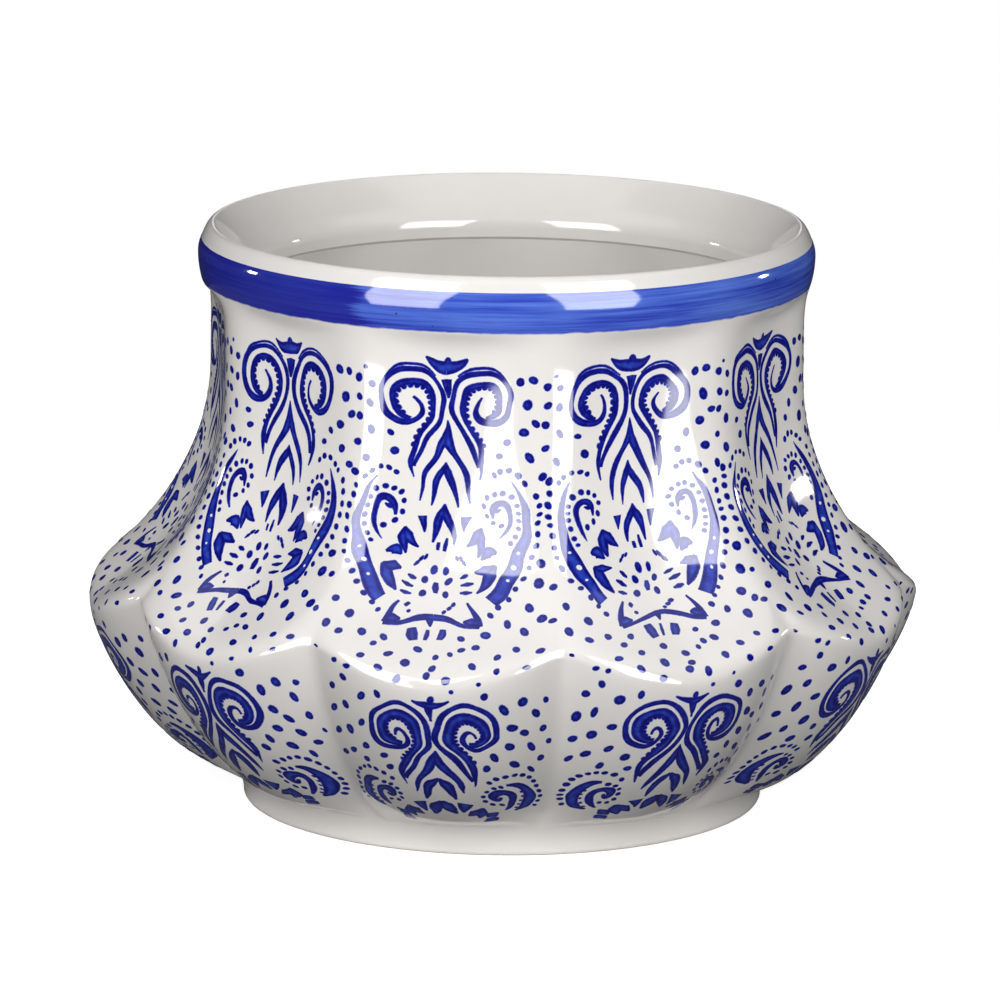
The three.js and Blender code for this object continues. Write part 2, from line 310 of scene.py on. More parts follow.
    def crest(self, share: np.ndarray) -> np.ndarray:
        """Returns the height of the crest between petal and panel."""
        climb = self.nearness(share, self.crest_softness) ** self.crest_power
        return self.belly_height + self.crest_lift * climb

    def outer_radius(self, share: np.ndarray, height: np.ndarray) -> np.ndarray:
        """Returns the outer radius of the body.

        Args:
            share: Share of a petal, -1 to 1.
            height: Height in mm, from the foot's top to the collar's root.

        Returns:
            The radius in mm.
        """
        share, height = np.broadcast_arrays(np.asarray(share, float), np.asarray(height, float))
        crest = self.crest(share)
        climb = np.clip((height - self.foot_height) / (crest - self.foot_height), 0, 1)
        petal = self.petal.radius(mix(self.foot_height, self.belly_height, climb))
        groove = self.groove.radius(mix(self.foot_height, self.crest_height, climb))
        below = mix(petal, groove, self.groove_share(share, climb))
        climb = np.clip((height - crest) / (self.collar_height - crest), 0, 1)
        panel = self.panel.radius(mix(self.belly_height, self.collar_height, climb))
        ridge = self.ridge.radius(mix(self.crest_height, self.collar_height, climb))
        blend = smooth_step(climb, 0, self.shoulder_blend)
        above = mix(panel, ridge, mix(self.groove_share(share, 1.0), self.ridge_share(share), blend))
        return np.where(height <= crest, below, above)

    def slimmest_radius(self, height: np.ndarray) -> np.ndarray:
        """Returns the least outer radius at a height, in the middle of a petal or on its edge."""
        return np.minimum(self.outer_radius(0, height), self.outer_radius(1, height))

    def inner_radius(self, share: np.ndarray, height: np.ndarray) -> np.ndarray:
        """Returns the inner radius: the wall's thickness in from the outside, its lobes softened.

        Args:
            share: Share of a petal, -1 to 1.
            height: Height in mm.

        Returns:
            The radius in mm.
        """
        half = self.slope_span / 2
        rise = self.slimmest_radius(height + half) - self.slimmest_radius(height - half)
        slant = np.hypot(1, rise / self.slope_span)
        follow = self.inside_follows * smooth_step(height, self.foot_height, self.belly_height)
        softened = mix(self.slimmest_radius(height), self.outer_radius(share, height), follow)
        return np.maximum(softened - self.wall * slant, self.floor_radius)

    def outside(self, share: np.ndarray, height: np.ndarray) -> np.ndarray:
        """Returns the outer radius of the foot's flare, the lobed body and the round collar.

        Args:
            share: Share of a petal, -1 to 1.
            height: Height in mm.

        Returns:
            The radius in mm.
        """
        climb = np.clip((height - self.collar_height) / (self.collar_top - self.collar_height), 0, 1)
        widest = self.collar_radius - self.collar_root_inset + self.collar_swell
        below = self.collar_swell * (1 - climb / self.collar_widest) ** 2
        above = self.collar_fall * ((climb - self.collar_widest) / (1 - self.collar_widest)) ** 2
        swell = widest - np.where(climb < self.collar_widest, below, above)
        body = np.where(height < self.foot_height, self.foot.radius(height), self.outer_radius(share, height))
        return np.where(height < self.collar_height, body, swell)

    def surface(self, turn: np.ndarray, height: np.ndarray) -> np.ndarray:
        """Returns points on the outside in mm, at turns from -Y towards +X."""
        return round_axis(self.outside(petal_share(turn), height), turn, height)

    def normal(self, turn: np.ndarray, height: np.ndarray) -> np.ndarray:
        """Returns the outside's normals, taken over a wider reach where the glaze rounds the crest.

        Args:
            turn: Turns from -Y towards +X in radians.
            height: Heights in mm.

        Returns:
            Unit normals, one row each.
        """
        off_crest = smooth_step(np.abs(height - self.crest(petal_share(turn))), *self.crest_fade)
        reach = mix(self.crest_reach, self.fine_reach, off_crest)
        turn_reach = reach / self.belly_radius
        high = np.minimum(height + reach, self.collar_top)
        across = self.surface(turn + turn_reach, height) - self.surface(turn - turn_reach, height)
        climb = self.surface(turn, high) - self.surface(turn, height - reach)
        out = np.cross(across, climb)
        return out / np.linalg.norm(out, axis=-1, keepdims=True)

    def lay(self, across: np.ndarray, way: np.ndarray, proud: np.ndarray,
            middle: float) -> tuple[np.ndarray, np.ndarray]:
        """Lays a flat drawing on the outside.

        Args:
            across: Distances to the side of the drawing's middle line, in mm.
            way: Distances up the panel's middle from the belly's widest line, in mm.
            proud: Heights off the glaze in mm.
            middle: Turn of the drawing's middle line in radians.

        Returns:
            Points in metres, and the outside's normals there.
        """
        height = np.interp(way, self.centre_way, self.centre[:, 1])
        radius = np.interp(way, self.centre_way, self.centre[:, 0])
        turn = middle + across / radius
        normals = self.normal(turn, height)
        return (self.surface(turn, height) + normals * proud[:, None]) * MM, normals


FORM = VaseForm()


@dataclass(frozen=True)
class Row:
    """One ring of a turned wall: its height and radius by share of a petal, and if it is outside."""

    height: HeightAt
    radius: RadiusAt
    outside: bool = False


def level(height: float) -> HeightAt:
    """Returns a function that gives one height for every share."""
    return lambda share: height + 0 * share


def ring(radius: float, height: float) -> Row:
    """Returns a round, level row."""
    return Row(level(height), lambda share, at: radius + 0 * share)


def rows_between(low: HeightAt, high: HeightAt, count: int, radius: RadiusAt,
                 outside: bool = False) -> list[Row]:
    """Returns rows from one height function to another.

    Args:
        low: Height by share where the rows start.
        high: Height by share where they end.
        count: Number of steps.
        radius: Radius by share and height.
        outside: True where the rows lie on the vase's outside.

    Returns:
        The rows, one more than the steps.
    """
    def row(step: int) -> Row:
        """Returns the row at a step."""
        return Row(lambda share: mix(low(share), high(share), step / count), radius, outside)
    return [row(step) for step in range(count + 1)]


def arc_rows(middle: Pair, reach: float, turns: Pair, count: int) -> list[Row]:
    """Returns round rows along an arc in the (radius, height) plane.

    Args:
        middle: The arc's middle.
        reach: Its radius.
        turns: First and last angle in degrees, from straight out towards up.
        count: Number of steps.

    Returns:
        The rows, one more than the steps.
    """
    angles = np.radians(np.linspace(*turns, count + 1))
    return [ring(middle[0] + reach * math.cos(a), middle[1] + reach * math.sin(a)) for a in angles]


def vertex_places(mesh: bpy.types.Mesh) -> np.ndarray:
    """Returns the places of a mesh's points, one row each."""
    places = np.empty(len(mesh.vertices) * 3)
    mesh.vertices.foreach_get("co", places)
    return places.reshape(-1, 3)


def new_object(name: str, bm: bmesh.types.BMesh) -> bpy.types.Object:
    """Makes a scene object with smooth faces.

    Args:
        name: Its name.
        bm: Its mesh, which is freed.

    Returns:
        The new object.
    """
    mesh = bpy.data.meshes.new(name)
    for face in bm.faces:
        face.smooth = True
    bm.to_mesh(mesh)
    bm.free()
    piece = bpy.data.objects.new(name, mesh)
    bpy.context.scene.collection.objects.link(piece)
    return piece


def spun_wall(rows: list[Row], steps: int, closed: bool) -> bmesh.types.BMesh:
    """Spins a wall's section about the vase's axis, each of its points marked with its row.

    Args:
        rows: The wall's rings in order.
        steps: Steps round the axis.
        closed: True where the last row joins the first, False where both ends lie on the axis.

    Returns:
        The round wall in mm.
    """
    bm = bmesh.new()
    layer = bm.verts.layers.int.new("row")
    verts = []
    for index, row in enumerate(rows):
        height = float(row.height(0.0))
        vert = bm.verts.new((0, -float(row.radius(0.0, height)), height))
        vert[layer] = index
        verts.append(vert)
    ahead = verts[1:] + verts[:1] if closed else verts[1:]
    edges = [bm.edges.new(pair) for pair in zip(verts, ahead)]
    bmesh.ops.spin(bm, geom=verts + edges, axis=(0, 0, 1), cent=(0, 0, 0), angle=2 * math.pi, steps=steps,
                   use_merge=True, use_duplicate=False)
    if not closed:
        ends = [v for v in bm.verts if math.hypot(v.co.x, v.co.y) < ON_AXIS]
        bmesh.ops.remove_doubles(bm, verts=ends, dist=MERGE_REACH)
    bmesh.ops.recalc_face_normals(bm, faces=bm.faces)
    return bm


def turned_piece(name: str, rows: list[Row], steps: int, closed: bool = True) -> bpy.types.Object:
    """Turns a wall about the vase's axis and moves each ring to its lobed place.

    Args:
        name: The piece's name.
        rows: The wall's rings in order, the outside from low to high and the inside back down.
        steps: Steps round the axis.
        closed: True where the last row joins the first, False where both ends lie on the axis.

    Returns:
        The new piece.
    """
    piece = new_object(name, spun_wall(rows, steps, closed))
    mesh = piece.data
    points = vertex_places(mesh)
    row_of = np.empty(len(points), dtype=np.int32)
    mesh.attributes["row"].data.foreach_get("value", row_of)
    step_angle = 2 * math.pi / steps
    turn = np.round(np.arctan2(points[:, 0], -points[:, 1]) / step_angle) * step_angle
    share = petal_share(turn)
    height, radius = np.zeros(len(points)), np.zeros(len(points))
    outside = np.zeros(len(points), dtype=bool)
    for index, row in enumerate(rows):
        here = row_of == index
        height[here] = row.height(share[here])
        radius[here] = row.radius(share[here], height[here])
        outside[here] = row.outside
    mesh.vertices.foreach_set("co", (round_axis(radius, turn, height) * MM).ravel())
    mesh.update()
    mesh.attributes.remove(mesh.attributes["row"])
    mesh.set_sharp_from_angle(angle=SHARP_EDGE)
    if outside.any():
        set_outside_normals(mesh, outside, FORM.normal(turn, height))
    return piece


def set_outside_normals(mesh: bpy.types.Mesh, outside: np.ndarray, normals: np.ndarray) -> None:
    """Gives the exact normals of the vase's outside to the four-sided faces that lie on it.

    Args:
        mesh: A mesh of four-sided faces.
        outside: Which of its points lie on the outside.
        normals: The outside's normals at every point.
    """
    corners = np.empty(len(mesh.loops), dtype=np.int32)
    mesh.loops.foreach_get("vertex_index", corners)
    on_outside = outside[corners].reshape(-1, 4).all(axis=1).repeat(4)
    mesh.normals_split_custom_set(np.where(on_outside[:, None], normals[corners], 0.0))


class NodeChain:
    """Adds shader nodes to one material or world."""

    def __init__(self, owner: bpy.types.Material | bpy.types.World) -> None:
        """Empties the tree of the material or world that it fills.

        Args:
            owner: The material or world.
        """
        owner.use_nodes = True
        self.owner = owner
        self.tree = owner.node_tree
        self.tree.nodes.clear()

    def add(self, kind: str, inputs: dict | None = None, stops: tuple[tuple[float, str], ...] = (),
            **settings: object) -> bpy.types.Node:
        """Adds a node with its settings and links.

        Args:
            kind: Blender's name of the node type.
            inputs: Socket name or number to a value or to another node's output socket.
            stops: Positions and hex colours in order, where the node has a ramp.
            settings: Properties of the node.

        Returns:
            The new node.
        """
        node = self.tree.nodes.new(kind)
        for name, value in settings.items():
            setattr(node, name, value)
        for name, value in (inputs or {}).items():
            if isinstance(value, bpy.types.NodeSocket):
                self.tree.links.new(value, node.inputs[name])
            else:
                node.inputs[name].default_value = value
        elements = node.color_ramp.elements if stops else ()
        while len(elements) < len(stops):
            elements.new(0.5)
        for element, (position, code) in zip(elements, stops):
            element.position = position
            element.color = linear(code)
        return node


class Ware(Enum):
    """The finishes of the vase, by the names that a potter gives them."""

    WHITE = "clear_glaze_on_grey_white_stoneware"
    BAND = "brushed_cobalt_under_clear_glaze"
    RELIEF = "cobalt_on_raised_slip_under_clear_glaze"
    FOOT = "clear_glaze_over_bare_foot_ring"

    def chain(self) -> NodeChain:
        """Returns the nodes of a new material of this name."""
        return NodeChain(bpy.data.materials.new(self.value))


@dataclass(frozen=True)
class GlazeFinish:
    """Clear gloss glaze: hard, even mirror gloss with faint long waves in it."""

    roughness: float = 0.07
    ior: float = 1.5
    wave_mm: float = 14.0
    wave_depth_mm: float = 0.02
    cloud_mm: float = 40.0
    bare_roughness: float = 0.75
    bare_heights_mm: Pair = (0.35, 0.6)
    grain_mm: float = 0.6
    bleed_mm: float = 0.9
    bleed_depth: float = 0.3
    bled: Pair = (0.05, 0.34)
    pool_mm: float = 2.2
    streak_mm: float = 1.3
    load_mm: float = 16.0
    speck_mm: float = 7.0
    ragged_mm: float = 5.0
    ragged_depth_mm: float = 0.9
    band_fade_mm: float = 0.5
    rim_fade_mm: float = 0.3
    lap_turn: float = math.radians(27)

    def shine(self, chain: NodeChain, colour: object, place: bpy.types.NodeSocket,
              roughness: object = None) -> bpy.types.Material:
        """Adds the glaze over a colour and links it to the output.

        Args:
            chain: The material's nodes.
            colour: Colour socket or value under the glaze.
            place: Coordinates in metres.
            roughness: Socket or value in place of the usual gloss.

        Returns:
            The finished material.
        """
        waves = chain.add("ShaderNodeTexNoise", {"Vector": place, "Scale": 1 / (self.wave_mm * MM),
                                                 "Detail": 1.0})
        bump = chain.add("ShaderNodeBump", {"Height": waves.outputs["Fac"], "Strength": 1.0,
                                            "Distance": self.wave_depth_mm * MM})
        shader = chain.add("ShaderNodeBsdfPrincipled", {
            "Base Color": colour, "Roughness": self.roughness if roughness is None else roughness,
            "IOR": self.ior, "Normal": bump.outputs["Normal"],
        })
        chain.add("ShaderNodeOutputMaterial", {"Surface": shader.outputs["BSDF"]})
        return chain.owner

    def body_colour(self, chain: NodeChain, place: bpy.types.NodeSocket) -> bpy.types.NodeSocket:
        """Adds the grey-white of the stoneware, with the faintest clouding.

        Args:
            chain: The material's nodes.
            place: Coordinates in metres.

        Returns:
            The colour.
        """
        cloud = chain.add("ShaderNodeTexNoise", {"Vector": place, "Scale": 1 / (self.cloud_mm * MM),
                                                 "Detail": 3.0})
        stops = ((0.3, "e6e3df"), (0.7, "ece9e5"))
        return chain.add("ShaderNodeValToRGB", {"Fac": cloud.outputs["Fac"]}, stops).outputs["Color"]

    def white(self) -> bpy.types.Material:
        """Makes grey-white stoneware under clear glaze: warm and very even.

        Returns:
            The material.
        """
        chain = Ware.WHITE.chain()
        place = chain.add("ShaderNodeTexCoord").outputs["Object"]
        return self.shine(chain, self.body_colour(chain, place), place)

    def foot(self) -> bpy.types.Material:
        """Makes the foot ring's finish: the body's glaze, and bare, dry clay on its resting face.

        Returns:
            The material.
        """
        chain = Ware.FOOT.chain()
        place = chain.add("ShaderNodeTexCoord").outputs["Object"]
        height = chain.add("ShaderNodeSeparateXYZ", {0: place}).outputs["Z"]
        grain = chain.add("ShaderNodeTexNoise", {"Vector": place, "Scale": 1 / (self.grain_mm * MM),
                                                 "Detail": 2.0})
        edge = chain.add("ShaderNodeMath", {0: grain.outputs["Fac"], 1: 0.3 * MM, 2: height},
                         operation="MULTIPLY_ADD")
        low, high = self.bare_heights_mm
        glazed = chain.add("ShaderNodeMapRange", {"Value": edge.outputs[0], "From Min": low * MM,
                                                  "From Max": high * MM}).outputs["Result"]
        colour = chain.add("ShaderNodeValToRGB", {"Fac": glazed}, ((0.0, "cdbfae"), (1.0, "e6e3df")))
        gloss = chain.add("ShaderNodeMapRange", {"Value": glazed, "To Min": self.bare_roughness,
                                                 "To Max": self.roughness})
        return self.shine(chain, colour.outputs["Color"], place, gloss.outputs["Result"])

    def relief(self) -> bpy.types.Material:
        """Makes raised slip washed with cobalt: nearly black in pools, lighter on broad backs, bled edges.

        Returns:
            The material, driven by how far in from a stroke's edge a point lies.
        """
        chain = Ware.RELIEF.chain()
        place = chain.add("ShaderNodeTexCoord").outputs["Object"]
        inset = chain.add("ShaderNodeAttribute", attribute_name=Flat.INSET)
        edge = chain.add("ShaderNodeTexNoise", {"Vector": place, "Scale": 1 / (self.bleed_mm * MM),
                                                "Detail": 1.0})
        wander = chain.add("ShaderNodeMath", {0: edge.outputs["Fac"], 1: self.bleed_depth,
                                              2: -self.bleed_depth / 2}, operation="MULTIPLY_ADD")
        depth = chain.add("ShaderNodeMath", {0: inset.outputs["Fac"], 1: wander.outputs[0]}, operation="ADD")
        share = chain.add("ShaderNodeMath", {0: depth.outputs[0], 1: 2.0}, operation="DIVIDE").outputs[0]
        pool = chain.add("ShaderNodeTexNoise", {"Vector": place, "Scale": 1 / (self.pool_mm * MM),
                                                "Detail": 2.0})
        deep, pale = (
            chain.add("ShaderNodeValToRGB", {"Fac": share}, tuple(zip((0.1, 0.2, 0.3, 0.5, 0.8), codes)))
            for codes in (("4c60c8", "1a2294", "0c0c6c", "0e1078", "2032a4"),
                          ("6478d2", "2432a6", "141886", "1a2698", "304aba"))
        )
        fired = chain.add("ShaderNodeMapRange", {"Value": pool.outputs["Fac"], "From Min": 0.42,
                                                 "From Max": 0.68})
        cobalt = chain.add("ShaderNodeMix", {"Factor": fired.outputs["Result"], "A": deep.outputs["Color"],
                                             "B": pale.outputs["Color"]}, data_type="RGBA")
        low, high = self.bled
        bled = chain.add("ShaderNodeMapRange", {"Value": depth.outputs[0], "From Min": low, "From Max": high},
                         interpolation_type="SMOOTHSTEP")
        colour = chain.add("ShaderNodeMix", {"Factor": bled.outputs["Result"],
                                             "A": self.body_colour(chain, place),
                                             "B": cobalt.outputs["Result"]}, data_type="RGBA")
        return self.shine(chain, colour.outputs["Result"], place)

    def band(self) -> bpy.types.Material:
        """Makes the collar's finish: brushed cobalt with specks round its outside, white elsewhere.

        Returns:
            The material.
        """
        chain = Ware.BAND.chain()
        place = chain.add("ShaderNodeTexCoord").outputs["Object"]
        apart = chain.add("ShaderNodeSeparateXYZ", {0: place}).outputs
        wash = self.brushed(chain, place, apart)
        speck = chain.add("ShaderNodeTexVoronoi", {"Vector": place, "Scale": 1 / (self.speck_mm * MM)})
        spotted = chain.add("ShaderNodeMapRange", {"Value": speck.outputs["Distance"], "From Min": 0.03,
                                                   "From Max": 0.06, "To Min": 0.8, "To Max": 0.0})
        inked = chain.add("ShaderNodeMix", {"Factor": spotted.outputs["Result"], "A": wash,
                                            "B": linear("14104e")}, data_type="RGBA")
        colour = chain.add("ShaderNodeMix", {"Factor": self.painted(chain, place, apart),
                                             "A": self.body_colour(chain, place),
                                             "B": inked.outputs["Result"]}, data_type="RGBA")
        return self.shine(chain, colour.outputs["Result"], place)

    def painted(self, chain: NodeChain, place: bpy.types.NodeSocket, apart: object) -> bpy.types.NodeSocket:
        """Adds a factor for where the brush went: up from a ragged edge, on the collar's outside only.

        Args:
            chain: The material's nodes.
            place: Coordinates in metres.
            apart: The coordinates one by one.

        Returns:
            The factor.
        """
        ragged = chain.add("ShaderNodeTexNoise", {"Vector": place, "Scale": 1 / (self.ragged_mm * MM),
                                                  "Detail": 3.0})
        depth = self.ragged_depth_mm * MM
        wander = chain.add("ShaderNodeMath", {0: ragged.outputs["Fac"], 1: depth, 2: -depth / 2},
                           operation="MULTIPLY_ADD")
        height = chain.add("ShaderNodeMath", {0: apart["Z"], 1: wander.outputs[0]}, operation="ADD")
        start = FORM.collar_height * MM
        risen = chain.add("ShaderNodeMapRange", {"Value": height.outputs[0], "From Min": start,
                                                 "From Max": start + self.band_fade_mm * MM})
        flat = chain.add("ShaderNodeCombineXYZ", {0: apart["X"], 1: apart["Y"]})
        out = chain.add("ShaderNodeVectorMath", {0: flat.outputs[0]}, operation="LENGTH")
        rim = (FORM.collar_radius - 1.0) * MM
        outside = chain.add("ShaderNodeMapRange", {"Value": out.outputs["Value"], "From Max": rim,
                                                   "From Min": rim - self.rim_fade_mm * MM})
        both_of = {0: risen.outputs["Result"], 1: outside.outputs["Result"]}
        return chain.add("ShaderNodeMath", both_of, operation="MULTIPLY").outputs[0]

    def brushed(self, chain: NodeChain, place: bpy.types.NodeSocket, apart: object) -> bpy.types.NodeSocket:
        """Adds the brushed wash: level streaks, and a darker lap where the brush went round twice.

        Args:
            chain: The material's nodes.
            place: Coordinates in metres.
            apart: The coordinates one by one.

        Returns:
            The wash's colour.
        """
        across = chain.add("ShaderNodeMath", {0: apart["Y"], 1: -1.0}, operation="MULTIPLY")
        turn = chain.add("ShaderNodeMath", {0: apart["X"], 1: across.outputs[0]},
                         operation="ARCTAN2").outputs[0]
        fine = chain.add("ShaderNodeMapping", {"Vector": place, "Scale": (18, 18, 1 / (self.streak_mm * MM))})
        streaks = chain.add("ShaderNodeTexNoise", {"Vector": fine.outputs["Vector"], "Scale": 1.0,
                                                   "Detail": 5.0, "Roughness": 0.65}).outputs["Fac"]
        wide = chain.add("ShaderNodeMapping", {"Vector": place, "Scale": (25, 25, 1 / (self.load_mm * MM))})
        loads = chain.add("ShaderNodeTexNoise", {"Vector": wide.outputs["Vector"], "Scale": 1.0,
                                                 "Detail": 2.0})
        tone = chain.add("ShaderNodeMath", {0: loads.outputs["Fac"], 1: 0.55, 2: streaks},
                         operation="MULTIPLY_ADD")
        stops = ((0.55, "242c9e"), (0.72, "3a52c0"), (0.95, "587ad8"))
        wash = chain.add("ShaderNodeValToRGB", {"Fac": tone.outputs[0]}, stops)
        lap_edge = chain.add("ShaderNodeMath", {0: streaks, 1: 0.3, 2: turn}, operation="MULTIPLY_ADD")
        lap_end = CAMERA_TURN - self.lap_turn
        ended = chain.add("ShaderNodeMapRange", {"Value": lap_edge.outputs[0], "From Min": lap_end + 0.13,
                                                 "From Max": lap_end + 0.18, "To Min": 0.85, "To Max": 0.0})
        begun = chain.add("ShaderNodeMapRange", {"Value": turn, "From Min": -2.7, "From Max": -1.7})
        lap = chain.add("ShaderNodeMath", {0: begun.outputs["Result"], 1: ended.outputs["Result"]},
                        operation="MULTIPLY")
        return chain.add("ShaderNodeMix", {"Factor": lap.outputs[0], "A": wash.outputs["Color"],
                                           "B": linear("1c1890")}, data_type="RGBA").outputs["Result"]


def dress(piece: bpy.types.Object, material: bpy.types.Material, slot: str, *nodes: str) -> None:
    """Gives a piece its finish and its body, and hides the CAD nodes that it stands for.

    Args:
        piece: The new piece.
        material: Its finish.
        slot: Not used.
        nodes: CAD nodes that the piece replaces.
    """
    piece.data.materials.clear()
    piece.data.materials.append(material)
    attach(piece, BODY)
    if nodes:
        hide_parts(*nodes)
    LOG.info("%s: %d faces", piece.name, len(piece.data.polygons))


@dataclass
class Vessel:
    """The glazed vessel: foot, bowl, neck, collar, throat and lip."""

    finish: GlazeFinish
    form: VaseForm
    lobed_steps: int = 400
    round_steps: int = 200
    edge_rows: int = 6
    foot_rows: int = 10
    bowl_rows: int = 48
    bowl_inner_rows: int = 14
    shoulder_rows: int = 10
    neck_rows: int = 84
    neck_inner_rows: int = 20
    collar_rows: int = 24
    mouth_rows: int = 8
    hairline: float = 0.02
    valley_reach: float = 1.1
    valley_drop: float = 1.5

    def __post_init__(self) -> None:
        """Makes the white glaze that most sections share."""
        self.white = self.finish.white()

    def build(self) -> None:
        """Builds and dresses every section."""
        white = self.white
        dress(self.foot(), self.finish.foot(), "white_glaze", "foot_ring")
        dress(self.floor(), white, "white_glaze", "floor_disc")
        dress(self.lower_body(), white, "ornament_glaze", "lower_body")
        dress(self.upper_body(), white, "ornament_glaze", "upper_body")
        dress(self.collar(), self.finish.band(), "cobalt_band", "collar_band")
        dress(self.throat(), white, "white_glaze", "throat_ring")
        dress(self.lip(), white, "white_glaze", "lip_ring")

    def foot(self) -> bpy.types.Object:
        """Returns the foot ring with rounded lower edges."""
        form, edge, bore = self.form, self.form.foot_edge, self.form.foot_bore
        return turned_piece("foot_ring_glazed", [
            *arc_rows((form.foot_radius - edge, edge), edge, (-90, 0), self.edge_rows),
            *rows_between(level(edge + 0.1), level(form.foot_height), self.foot_rows, form.outside, True),
            ring(bore, form.foot_height),
            *arc_rows((bore + edge, edge), edge, (180, 270), self.edge_rows),
        ], self.round_steps)

    def floor(self) -> bpy.types.Object:
        """Returns the floor inside the vase, its rim eased."""
        form, ease = self.form, self.form.floor_fillet
        bore = form.foot_bore - form.floor_gap
        return turned_piece("floor_glazed", [
            ring(0, form.floor_base),
            ring(bore, form.floor_base),
            ring(bore, form.foot_height),
            ring(form.floor_radius, form.foot_height),
            *arc_rows((form.floor_radius - ease, form.floor_top - ease), ease, (0, 90), self.edge_rows),
            ring(form.floor_radius / 2, form.floor_top),
            ring(0, form.floor_top),
        ], self.round_steps, closed=False)

    def lower_body(self) -> bpy.types.Object:
        """Returns the bowl: ten petals with a groove between them."""
        form = self.form
        foot, seam = level(form.foot_height), level(form.seam_height)
        return turned_piece("bowl_petals", [
            *rows_between(foot, seam, self.bowl_rows, form.outer_radius, True),
            *rows_between(seam, foot, self.bowl_inner_rows, form.inner_radius),
        ], self.lobed_steps)

    def upper_body(self) -> bpy.types.Object:
        """Returns the shoulder and neck: scooped panels, soft ridges and the wavy crest."""
        form = self.form
        seam, top = level(form.seam_height), level(form.collar_seam)
        corbel = level(form.collar_seam - form.corbel_drop)
        return turned_piece("neck_panels", [
            *rows_between(seam, form.crest, self.shoulder_rows, form.outer_radius, True),
            *rows_between(form.crest, top, self.neck_rows, form.outer_radius, True)[1:],
            ring(form.throat_radius + form.throat_edge, form.collar_seam),
            *rows_between(corbel, seam, self.neck_inner_rows, form.inner_radius),
        ], self.lobed_steps)

    def collar(self) -> bpy.types.Object:
        """Returns the upright collar that carries the painted band."""
        form = self.form
        root, top = level(form.collar_seam), level(form.collar_top)
        return turned_piece("collar_painted", [
            *rows_between(root, top, self.collar_rows, form.outside, True),
            ring(form.mouth_radius, form.collar_top),
            ring(form.bore_radius, form.throat_top),
            ring(form.bore_radius, form.collar_seam),
        ], self.lobed_steps)

    def throat(self) -> bpy.types.Object:
        """Returns the throat's roll: a faint valley under the lip's slope, then a round nose."""
        form = self.form
        top = (form.bore_radius - self.hairline, form.throat_top)
        valley = (top[0] - self.valley_reach, top[1] - self.valley_drop)
        nose = (form.throat_radius, form.throat_top - form.throat_nose_drop)
        fall, steep, down = (-form.mouth_slope, -1), (-0.85, -1), (0, -1)
        roll = np.concatenate([Bend(top, fall, valley, steep, (0.6, 0.6), 6).points(),
                               Bend(valley, steep, nose, down, (2.2, 2.2), 16).points()[1:]])
        return turned_piece("throat_roll", [
            ring(top[0], form.collar_seam),
            *(ring(radius, height) for radius, height in roll),
            ring(form.throat_radius, form.collar_seam + form.throat_edge),
            ring(form.throat_radius + form.throat_edge, form.collar_seam),
        ], self.lobed_steps)

    def lip(self) -> bpy.types.Object:
        """Returns the lip: round outside, a crown near the outside and a long slope into the mouth."""
        form, ease = self.form, self.form.mouth_ease
        base = (float(form.outside(0.0, form.collar_top)), form.collar_top)
        crown = (form.crown_radius, form.lip_top)
        round_off = Bend(base, (-0.45, 0.89), crown, (-1, 0), (1.0, 1.6), 15).points()
        turns = (90, 90 + math.degrees(form.mouth_turn))
        return turned_piece("lip_rounded", [
            *(ring(radius, height) for radius, height in round_off),
            *arc_rows((form.crown_radius, form.lip_top - ease), ease, turns, self.mouth_rows)[1:],
            ring(form.mouth_radius, form.collar_top),
        ], self.lobed_steps)


@dataclass(frozen=True)
class Stroke:
    """One trailed line of a flat drawing in mm: points as (across, up), and the widths along them."""

    points: tuple[Pair, ...]
    widths: tuple[float, ...]
    scallop: float = 0.0

    def mirrored(self) -> "Stroke":
        """Returns the stroke on the other side of the middle line."""
        return Stroke(tuple((-x, y) for x, y in self.points), self.widths, -self.scallop)

    def course(self, step: float = 0.6, ease: int = 22, samples: int = 12) -> np.ndarray:
        """Returns a smooth, evenly stepped course through the points.

        Args:
            step: Distance between samples in mm.
            ease: How many times a long course's samples are averaged with their neighbours.
            samples: Samples between two points, before they are evened out.

        Returns:
            Rows of across, up and width.
        """
        points = np.array(self.points, float)
        knots = np.concatenate([[2 * points[0] - points[1]], points, [2 * points[-1] - points[-2]]])
        t = np.linspace(0, 1, samples, endpoint=False)[:, None]
        spans = [
            0.5 * (2 * b + (c - a) * t + (2 * a - 5 * b + 4 * c - d) * t * t
                   + (3 * b - a - 3 * c + d) * t ** 3)
            for a, b, c, d in zip(knots, knots[1:], knots[2:], knots[3:])
        ]
        path = np.concatenate([*spans, points[-1:]])
        way = way_along(path)
        count = max(4, round(way[-1] / step))
        share = np.linspace(0, 1, count + 1)
        even = np.column_stack([np.interp(share * way[-1], way, path[:, axis]) for axis in (0, 1)])
        for _ in range(min(ease, count // 2)):
            even[1:-1] = even[1:-1] / 2 + (even[:-2] + even[2:]) / 4
        widths = np.interp(share, np.linspace(0, 1, len(self.widths)), self.widths)
        return np.column_stack([even, widths])


@dataclass(frozen=True)
class Dot:
    """One dot of slip in mm: its place, half its width, its length by its width, and its lean in radians."""

    across: float
    up: float
    radius: float
    stretch: float = 1.0
    lean: float = 0.0


def both(strokes: list[Stroke]) -> list[Stroke]:
    """Returns strokes with their mirror images."""
    return strokes + [stroke.mirrored() for stroke in strokes]


def beads(radius: float, *places: Pair) -> list[Dot]:
    """Returns round beads at places on both sides of the middle line."""
    return [Dot(side * x, y, radius) for side in (1, -1) for x, y in places]


